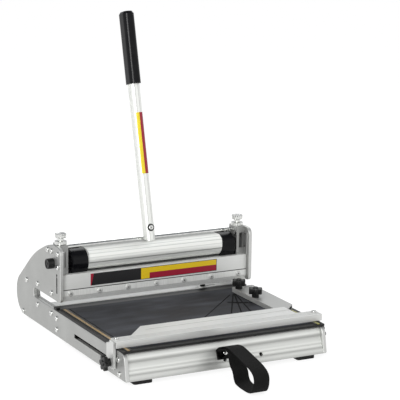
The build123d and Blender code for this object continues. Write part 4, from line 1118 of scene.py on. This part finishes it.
def star_knob(name, radius, body, collar, stud_length):
    """A knob at the origin that stands on its collar, with its stud below."""
    lobe = LOBE_SHARE * radius
    core = radius - lobe
    knob = cylinder(name, 36, core, body, low=collar)
    for number in range(LOBES):
        angle = math.tau * number / LOBES
        spot = (core * math.cos(angle), core * math.sin(angle))
        cut_with(knob, cylinder("petal", 20, lobe, body, collar, spot, angle), "UNION")
    pick_all(knob)
    bpy.ops.mesh.dissolve_limited(angle_limit=FLAT_ANGLE)
    leave()
    soften(knob, KNOB_ROUND * body, segments=3, angle_limit=math.radians(50))
    crown_radius = core - lobe
    crown = new_piece(
        "crown", bpy.ops.mesh.primitive_cone_add, vertices=28, radius1=crown_radius,
        radius2=CROWN_TAPER * crown_radius, depth=lobe / 2 + CROWN_SINK,
        location=(0, 0, collar + body + lobe / 4 - CROWN_SINK / 2),
    )
    dish = CROWN_DISH * crown_radius
    press(crown, faces_up, (CROWN_RIM * crown_radius, 0), (dish, -dish))
    foot = cylinder("foot", 28, FOOT_SHARE * radius, collar)
    press(foot, faces_down, (FOOT_RIM * radius, 0), (FOOT_STEP * radius, -FOOT_SINK))
    stud = cylinder("stud", 20, STUD_RADIUS, stud_length, low=-stud_length)
    round_edges(stud, lambda a, b: max(a.z, b.z) < -NEAR_TOP * stud_length, STUD_TIP, segments=1)
    for part in (knob, crown, foot):
        wear(part, black_knob)
    wear(stud, steel)
    whole = join([knob, crown, foot, stud], name)
    smooth(whole, 40)
    return whole

# %% Put the knobs in their places
SIDE_KNOB = dict(radius=0.0125, body=0.006, collar=0.006)
TOP_KNOB = dict(radius=0.012, body=0.009, collar=0.006)
SMALL_KNOB = dict(radius=0.009, body=0.008, collar=0.006)


def box_of(node):
    """The lowest and the highest corner of a CAD node."""
    return tuple(Vector(corner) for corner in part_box(node))


def place_knob(name, node, size, axis):
    """A star knob in the place of a CAD node and on its body, its top towards an axis."""
    axis = Vector(axis)
    rise = size["collar"] + size["body"] + LOBE_SHARE * size["radius"] / 2
    seat, stud_length = stand(*box_of(node), axis, rise)
    knob = star_knob(name, stud_length=stud_length, **size)
    lobes_to = Vector((1, 0, 0)) if axis.z else Vector((0, 1, 0))
    turned = laid_along(lobes_to, axis.cross(lobes_to), axis)
    knob.data.transform(Matrix.Translation(seat) @ turned)
    hand_over(knob, node, "knob_black", node)
    print(name, "has a stud of", round(1000 * stud_length, 1), "mm")


for hand, side in SIDES:
    place_knob(f"fence_star_{hand}", f"fence_knob_{hand}", SIDE_KNOB, (side, 0, 0))
place_knob("pivot_star", "guide_pivot_knob", TOP_KNOB, (0, 0, 1))
place_knob("clamp_star", "guide_clamp_knob", TOP_KNOB, (0, 0, 1))
place_knob("stop_star", "rear_stop_knob", SMALL_KNOB, (0, 0, 1))

# %% [markdown]
# ## Adjusters
# A knurled thumb screw stands on each tower and sets how far the blade is pressed. Its head
# is a low drum with grips round it: every other side face is pushed in a little. Below it a
# waist leads down to the thread. The cross-section is simple, so extrude and resize are
# enough, from the head downwards.

# %% Turn a thumb screw
THUMB_SIDES = 36
THUMB_HEAD, THUMB_WAIST, THUMB_THREAD = 0.0092, 0.0046, 0.004
THUMB_HEIGHT = 0.0058
THUMB_RIM, THUMB_SLOPE = 0.0012, 0.0010
THUMB_FLARE = 1.15
WAIST_STEPS = (
    # how far down, and how much wider
    (0.0012, 1.0), (0.0030, THUMB_FLARE), (0.0006, THUMB_THREAD / (THUMB_WAIST * THUMB_FLARE)),
)
GRIP_DEPTH = 0.0005
UPRIGHT, RIM_NEAR = 0.1, 0.95
THUMB_DIMPLE = ((0.0018, 0), (0.0006, -0.0005))


def grip_face(face):
    """Every other face round the head of a thumb screw."""
    share = math.atan2(face.center.y, face.center.x) / math.tau * THUMB_SIDES
    on_rim = abs(face.normal.z) < UPRIGHT and face.center.xy.length > RIM_NEAR * THUMB_HEAD
    return on_rim and round(share - 0.5) % 2 == 0


def thumb_screw(name, node):
    """A thumb screw in the place of a CAD node and on its body."""
    low, high = box_of(node)
    screw = cylinder(name, THUMB_SIDES, THUMB_HEAD, THUMB_HEIGHT, low=-THUMB_HEIGHT)
    pick_faces(screw, faces_down)
    insets((THUMB_RIM, 0))
    bpy.ops.transform.translate(value=(0, 0, -THUMB_SLOPE))
    insets((THUMB_HEAD - THUMB_RIM - THUMB_WAIST, 0))
    for fall, widen in WAIST_STEPS:
        pull((0, 0, -fall))
        bpy.ops.transform.resize(value=(widen, widen, 1))
    waist_fall = sum(fall for fall, _ in WAIST_STEPS)
    pull((0, 0, low.z - high.z + THUMB_HEIGHT + THUMB_SLOPE + waist_fall))
    leave()
    pick_faces(screw, grip_face)
    bpy.ops.mesh.extrude_faces_move(TRANSFORM_OT_shrink_fatten={"value": -GRIP_DEPTH})
    leave()
    press(
        screw, lambda face: faces_up(face) and face.center.xy.length < THUMB_THREAD,
        *THUMB_DIMPLE,
    )
    soften(screw, EDGE_ROUND)
    screw.data.transform(Matrix.Translation(((low.x + high.x) / 2, (low.y + high.y) / 2, high.z)))
    wear(screw, steel)
    smooth(screw, 35)
    hand_over(screw, node, "bright_steel", node)
    print(name, "is", round(1000 * (high.z - low.z), 1), "mm long")


for hand, _ in SIDES:
    thumb_screw(f"thumb_screw_{hand}", f"adjuster_{hand}")

# %% [markdown]
# ## Return springs
# A coil spring under each end of the beam lifts it again after a cut. When the lever presses
# the beam down, the spring shortens between its fixed foot and the beam. A merged copy of the
# CAD spring's mesh takes its place, and it stays rigid.

# %% Copy the springs
MERGE_REACH = 0.00001


def merged_copy(node, name, flat=False):
    """A CAD node's mesh as a piece of its own, with points merged and, if asked, flats too."""
    twin = nodes[node].copy()
    twin.data = nodes[node].data.copy()
    twin.name = name
    bpy.context.collection.objects.link(twin)
    pick_all(twin)
    bpy.ops.mesh.remove_doubles(threshold=MERGE_REACH)
    if flat:
        bpy.ops.mesh.tris_convert_to_quads()
        bpy.ops.mesh.dissolve_limited(angle_limit=FLAT_ANGLE)
    leave()
    return twin


for hand, _ in SIDES:
    node = f"return_spring_{hand}"
    low, high = box_of(node)
    coil = merged_copy(node, f"coil_{hand}")
    outwards(coil)
    wear(coil, wire_steel)
    smooth(coil, 40)
    hand_over(coil, "frame", "spring_steel", node)
    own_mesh(coil)

# %% [markdown]
# ## Axle caps
# Each end of the axle is closed by a black cap that stands well out of the plate. It is a
# short drum with a rounded rim and a dished end, so a cylinder gets four insets and a bevel.

# %% Cap the axle
CAP_REACH, CAP_ROUND = 0.0110, 0.0006
CAP_DISH = ((0.0018, 0), (0.0006, -0.0012), (0.0030, 0), (0.0008, 0.0008))
for hand, side in SIDES:
    low, high = box_of(f"axle_cap_{hand}")
    cap = cylinder(f"axle_end_{hand}", 40, (high.y - low.y) / 2, CAP_REACH)
    press(cap, faces_up, *CAP_DISH)
    soften(cap, CAP_ROUND, segments=3)
    seat = (low + high) / 2
    seat.x = side * min(abs(low.x), abs(high.x))
    cap.data.transform(facing(seat, (side, 0, 0)))
    wear(cap, black_knob)
    smooth(cap, 35)
    hand_over(cap, "frame", "knob_black", f"axle_cap_{hand}")
print("Axle caps stand", round(1000 * CAP_REACH, 1), "mm out")

# %% [markdown]
# ## Windows in the towers
# The channel inside each tower has a window in its front wall, and the dark bearing block
# shows through it. The CAD channel is whole, so its mesh is copied and merged, and a block
# with rounded corners is cut out of the wall.

# %% Cut the windows
WINDOW_INNER, WINDOW_OUTER = 0.1598, 0.1665
WINDOW_LOW, WINDOW_HIGH = 0.1210, 0.1475
WINDOW_CUT = 0.008
WINDOW_CORNER = 0.0012
CHANNEL_WIDTH = 0.027
for hand, side in SIDES:
    node = f"guide_channel_{hand}"
    channel = merged_copy(node, f"open_channel_{hand}", flat=True)
    front = box_of(node)[1].y - CHANNEL_WIDTH
    cutter = block(
        "window_cutter", (WINDOW_OUTER - WINDOW_INNER, WINDOW_CUT, WINDOW_HIGH - WINDOW_LOW),
        (side * (WINDOW_INNER + WINDOW_OUTER) / 2, front, (WINDOW_LOW + WINDOW_HIGH) / 2),
    )
    round_edges(cutter, lambda a, b: abs(a.y - b.y) > WINDOW_CUT / 2, WINDOW_CORNER, segments=3)
    cut_with(channel, cutter)
    wear(channel, channel_metal)
    smooth(channel, 30)
    hand_over(channel, "frame", "extrusion", node)
print("Windows", round(1000 * (WINDOW_HIGH - WINDOW_LOW), 1), "mm high")

# %% [markdown]
# ## Cutting mat
# The mat is a sheet of dull rubber with a fan of lines for the angle guide. The CAD mat has
# the right outline and holes, so its mesh is copied and merged, its own shallow marks are
# filled, and the fan is cut again with a boolean, a little wider, with ink in the grooves.

# %% Cut the fan into the mat
MAT_TOP = box_of("cutting_mat")[1].z
MARK_APEX = Vector((0.133, 0.0735, MAT_TOP))
MARK_DEPTH = 0.0004
SKIN, OLD_DEPTH, NEW_DEPTH = 0.0001, 0.0009, 0.00045
FAN = (
    # angle in degrees, start, end and width
    (15, 0.012, 0.175, 0.0024), (22.5, 0.012, 0.175, 0.0024), (30, 0.012, 0.175, 0.0022),
    (45, 0.020, 0.230, 0.0018),
)


def below_top(z, depth):
    """Whether a height lies under the mat's top, but no deeper than a groove."""
    return MAT_TOP - depth < z < MAT_TOP - SKIN


mat = merged_copy("cutting_mat", "marked_mat", flat=True)
groove = {v.index for v in mat.data.vertices if below_top(v.co.z, OLD_DEPTH)}
pick_faces(mat, lambda face: any(i in groove for i in face.vertices))
bpy.ops.mesh.delete(type="FACE")
bpy.ops.mesh.select_all(action="SELECT")
bpy.ops.mesh.fill_holes(sides=0)
bpy.ops.mesh.normals_make_consistent(inside=False)
leave()
for degrees, start, end, width in FAN:
    bar = block("mark_cutter", (width, end - start, 2 * MARK_DEPTH), (0, -(start + end) / 2, 0))
    swing = Matrix.Rotation(-math.radians(degrees), 4, "Z")
    bar.data.transform(Matrix.Translation(MARK_APEX) @ swing)
    cut_with(mat, bar)
wear_by_place(
    mat, [mat_rubber, ink_and_shade_black],
    lambda spot: ink_and_shade_black if below_top(spot.z, NEW_DEPTH) else mat_rubber,
)
hand_over(mat, "frame", "mat", "cutting_mat")
inked = sum(face.material_index for face in mat.data.polygons)
print("Mat has", len(mat.data.polygons), "faces, and ink on", inked)

# %% [markdown]
# ## Covers behind the fence slots
# The long slots in the side plates look black in the photo, and a folded plastic cover behind
# each one is the likely reason. Each cover is a tray: a block whose open side is inset and
# pushed back in.

# %% Fold the covers
PLATE_INSIDE = 0.170
COVER_DEPTH, COVER_WALL, COVER_LIP, COVER_ROUND = 0.0058, 0.0007, 0.0035, 0.0002
(_, slot_front, slot_foot), (_, slot_back, slot_head) = FENCE_SLOT
cover_length = slot_back - slot_front + 2 * COVER_LIP
cover_height = slot_head - slot_foot + 2 * COVER_LIP
for hand, side in SIDES:
    cover = block(
        f"slot_cover_{hand}", (COVER_DEPTH, cover_length, cover_height),
        (side * (PLATE_INSIDE - COVER_DEPTH / 2), (slot_front + slot_back) / 2,
         (slot_foot + slot_head) / 2),
    )
    pick_faces(cover, lambda face: side * face.normal.x > SQUARE_ON)
    insets((COVER_WALL, 0))
    pull((-side * (COVER_DEPTH - COVER_WALL), 0, 0))
    leave()
    soften(cover, COVER_ROUND)
    wear(cover, black_board)
    hand_over(cover, "frame", "knob_black")
print("Slot covers are", round(1000 * cover_length, 1), "mm long")

# %% [markdown]
# ## Sticker on the blade beam
# A long sticker runs along the face of the blade beam: a black panel with a red wedge, a yellow
# square, and a yellow stripe over a dark red one inside a black border. It is only colour, so
# one thin plate is enough. It is bisected where the colours change, and the faces between the
# cuts get their inks by their place.

# %% Stick it on
INK_DEPTH = 0.00015
BEAM_FACE_Y = 0.0975
STICKER_LEFT, STICKER_SPLIT = -0.119, -0.028
STICKER_SQUARE, STICKER_RIGHT = -0.0125, 0.113
STICKER_LOW, STICKER_MID, STICKER_HIGH = 0.0885, 0.0990, 0.1085
STICKER_MIDDLE = (STICKER_LOW + STICKER_HIGH) / 2
BORDER = 0.0008
WEDGE_MIDDLE, WEDGE_SLOPE = -0.1155, 0.22
LOW_LINE, HIGH_LINE, RIGHT_LINE = (
    STICKER_LOW + BORDER, STICKER_HIGH - BORDER, STICKER_RIGHT - BORDER,
)


def bisect_all(cuts, **settings):
    """Bisects the whole mesh in edit mode by planes of (spot, normal)."""
    for spot, normal in cuts:
        bpy.ops.mesh.select_all(action="SELECT")
        bpy.ops.mesh.bisect(plane_co=spot, plane_no=normal, **settings)


def beam_ink(spot):
    if spot.x < WEDGE_MIDDLE + WEDGE_SLOPE * (spot.z - STICKER_MIDDLE):
        return red_ink
    if spot.x < STICKER_SPLIT or spot.x > RIGHT_LINE:
        return black_ink
    if spot.z < LOW_LINE or spot.z > HIGH_LINE:
        return black_ink
    if spot.x < STICKER_SQUARE or spot.z > STICKER_MID:
        return yellow_ink
    return red_ink


sticker = new_piece(
    "beam_sticker", bpy.ops.mesh.primitive_plane_add, size=1, location=(0, 0, 0),
    rotation=(math.pi / 2, 0, 0),
)
pick_all(sticker)
bpy.ops.transform.resize(value=(STICKER_RIGHT - STICKER_LEFT, 1, STICKER_HIGH - STICKER_LOW))
bpy.ops.transform.translate(
    value=((STICKER_LEFT + STICKER_RIGHT) / 2, BEAM_FACE_Y, STICKER_MIDDLE),
)
bisect_all([((WEDGE_MIDDLE, 0, STICKER_MIDDLE), (1, 0, -WEDGE_SLOPE))])
bisect_all(((x, 0, 0), (1, 0, 0)) for x in (STICKER_SPLIT, STICKER_SQUARE, RIGHT_LINE))
bisect_all(((0, 0, z), (0, 0, 1)) for z in (LOW_LINE, STICKER_MID, HIGH_LINE))
leave()
wear_by_place(sticker, [black_ink, red_ink, yellow_ink], beam_ink)
apply_modifier(sticker, "SOLIDIFY", thickness=INK_DEPTH, offset=1.0)
outwards(sticker)
hand_over(sticker, "beam", "gloss_black")
print("Beam sticker has", len(sticker.data.polygons), "faces")

# %% [markdown]
# ## Sticker on the lever
# A narrow yellow sticker with a dark red edge is wrapped over the front of the lever. Its
# shape has to follow the rounded tube, so it is cut out of a copy of the tube's own mesh with
# five bisecting planes, lifted a little off the tube and given the thickness of a film.

# %% Wrap it round the tube
WRAP_FROM, WRAP_TO = 0.131, 0.233
WRAP_LEFT, WRAP_RED, WRAP_RIGHT = -0.0054, 0.0004, 0.0084
WRAP_BACK = 0.002
WRAP_LIFT = 0.00005
FACES_FRONT = 0.05
RIGHTWARDS = Vector((1, 0, 0))
wrap = merged_copy("handle_tube", "lever_sticker")
pick_all(wrap)
bisect_all((
    (LEVER_FOOT + WRAP_FROM * lever_along, -lever_along),
    (LEVER_FOOT + WRAP_TO * lever_along, lever_along),
    (WRAP_RIGHT * RIGHTWARDS, RIGHTWARDS),
    (WRAP_LEFT * RIGHTWARDS, -RIGHTWARDS),
    (LEVER_FOOT + WRAP_BACK * lever_front, -lever_front),
), clear_outer=True)
bisect_all([(WRAP_RED * RIGHTWARDS, RIGHTWARDS)])
leave()
pick_faces(wrap, lambda face: face.normal.dot(lever_front) < FACES_FRONT)
bpy.ops.mesh.delete(type="FACE")
bpy.ops.mesh.select_all(action="SELECT")
bpy.ops.transform.shrink_fatten(value=WRAP_LIFT)
leave()
wear_by_place(
    wrap, [lemon_ink, red_ink], lambda spot: red_ink if spot.x > WRAP_RED else lemon_ink,
)
apply_modifier(wrap, "SOLIDIFY", thickness=INK_DEPTH, offset=1.0)
smooth(wrap, 30)
hand_over(wrap, "lever", "gloss_black")
print("Lever sticker has", len(wrap.data.polygons), "faces")

# %% [markdown]
# ## Scales on the rulers
# Both ruler strips carry a line every 5 mm, a longer one every 10 mm and a number every 20 mm,
# counted forwards from close to the blade. One line is modelled and repeated with an Array
# modifier, and the numbers are text that is turned into mesh. All of it is a tenth of a
# millimetre thick, like thick ink.

# %% Print the scales
RULER_TOP = box_of("ruler_strip_left")[1].z
PRINT_RISE = 0.0001
PRINT_MIDDLE = RULER_TOP + PRINT_RISE / 2
SCALE_START = 0.0900
SCALE_STEP = 0.005
SCALE_LINES = 46
CENTIMETRE = 0.01
LINE_WIDTH = 0.0008
SHORT_LINE, LONG_LINE = 0.0012, 0.0018
NUMBER_SIZE, NUMBER_IN = 0.0030, 0.0028


def scale_lines(inner, side, length, step, count):
    """Equal lines outwards from the strip's inner edge."""
    line = new_piece(
        "lines", bpy.ops.mesh.primitive_plane_add, size=1,
        location=(inner + side * length / 2, SCALE_START, PRINT_MIDDLE),
    )
    pick_all(line)
    bpy.ops.transform.resize(value=(length, LINE_WIDTH, 1))
    leave()
    apply_modifier(
        line, "ARRAY", count=count, use_relative_offset=False, use_constant_offset=True,
        constant_offset_displace=(0, -step, 0),
    )
    return line


def scale_number(x, y, value):
    """A number that lies on the strip."""
    drop_selection()
    bpy.ops.object.text_add(location=(0, 0, 0))
    text = bpy.context.object.data
    text.body = str(value)
    text.size = NUMBER_SIZE
    text.align_x = "CENTER"
    text.align_y = "CENTER"
    bpy.ops.object.convert(target="MESH")
    number = bpy.context.object
    number.data.transform(Matrix.Translation((x, y, PRINT_MIDDLE)))
    return number


for hand, side in SIDES:
    inner = side * PRINTED_FROM
    prints = [
        scale_lines(inner, side, SHORT_LINE, SCALE_STEP, SCALE_LINES),
        scale_lines(inner, side, LONG_LINE, 2 * SCALE_STEP, SCALE_LINES // 2),
    ]
    for value in range(2, 23, 2):
        y = SCALE_START - value * CENTIMETRE
        prints.append(scale_number(inner + side * NUMBER_IN, y, value))
    for mark in prints:
        apply_modifier(mark, "SOLIDIFY", thickness=PRINT_RISE, offset=0.0)
        wear(mark, black_ink)
    hand_over(join(prints, f"scale_{hand}"), "frame", "gloss_black")
    print("Scale on the", hand, "made of", len(prints), "prints")

# %% [markdown]
# ## Dress the CAD pieces
# Pieces whose CAD shape is already right only need their finish. A table says which finish
# goes where, so nothing is forgotten and a finish is easy to swap. Nodes that a piece above
# replaces aren't in it.


# %% Hand the finishes out
def pair(name):
    """The left and the right node of a name."""
    return [f"{name}_{hand}" for hand, _ in SIDES]


dress = {
    plate_metal: pair("side_plate"),
    channel_metal: pair("throat_doubler"),
    bar_metal: ["anvil_beam", "rear_tie"],
    front_metal: ["front_extrusion"],
    beam_metal: ["blade_beam"],
    roller_metal: ["cam_roller"],
    fence_metal: ["fence_bar", *pair("fence_bracket")],
    guide_metal: ["angle_guide"],
    ledge_metal: ["rear_stop_ledge", "rear_stop_arm"],
    lever_metal: ["handle_tube"],
    steel: [
        "stop_rod", "roller_axle", "guide_pins", "fence_nuts", "guide_nuts", *pair("lock_nut"),
    ],
    blade_steel: ["blade"],
    black_gloss: [*pair("drum"), "handle_grip", "grip_cap"],
    dark_nylon: [*pair("bearing_block"), *pair("guide_shoe"), "anvil_strip", "wear_strip"],
    black_board: ["table_board"],
    black_rubber: ["rubber_feet"],
    gold_foil: ["ruler_strip_left"],
    green_foil: ["ruler_strip_right"],
}
for finish, names in dress.items():
    for name in names:
        wear(nodes[name], finish)
print("Finishes on", sum(len(names) for names in dress.values()), "of", len(nodes), "nodes")

# %% [markdown]
# ### The floor's own finish
# A product photo has a pure white ground with a faint shadow. A floor that is only lit would
# come out grey, so for the eye, direct or in a reflection, it glows by itself for the greater
# part, and the rest still takes light and shadow.

# %% Let the floor glow
FLOOR_GLOW = 0.72
GLOW_STRENGTH = 1.18
FLOOR_WHITE = (0.9, 0.9, 0.9)
floor_finish, floor_tree, floor_shader = new_finish("studio_floor", FLOOR_WHITE, 0.8)
glow = add_node(floor_tree, "ShaderNodeEmission")
glow.inputs["Color"].default_value = (*WHITE, 1)
glow.inputs["Strength"].default_value = GLOW_STRENGTH
floor_rays = add_node(floor_tree, "ShaderNodeLightPath").outputs
eyes = reckon(floor_tree, "MAXIMUM", floor_rays["Is Camera Ray"], floor_rays["Is Glossy Ray"])
both = add_node(floor_tree, "ShaderNodeMixShader")
feed(floor_tree, both.inputs["Fac"], reckon(floor_tree, "MULTIPLY", eyes, FLOOR_GLOW))
feed(floor_tree, both.inputs[1], floor_shader.outputs["BSDF"])
feed(floor_tree, both.inputs[2], glow.outputs["Emission"])
floor_out = floor_tree.nodes["Material Output"]
feed(floor_tree, floor_out.inputs["Surface"], both.outputs["Shader"])
wear(floor, floor_finish)
print("Floor glows by", FLOOR_GLOW)
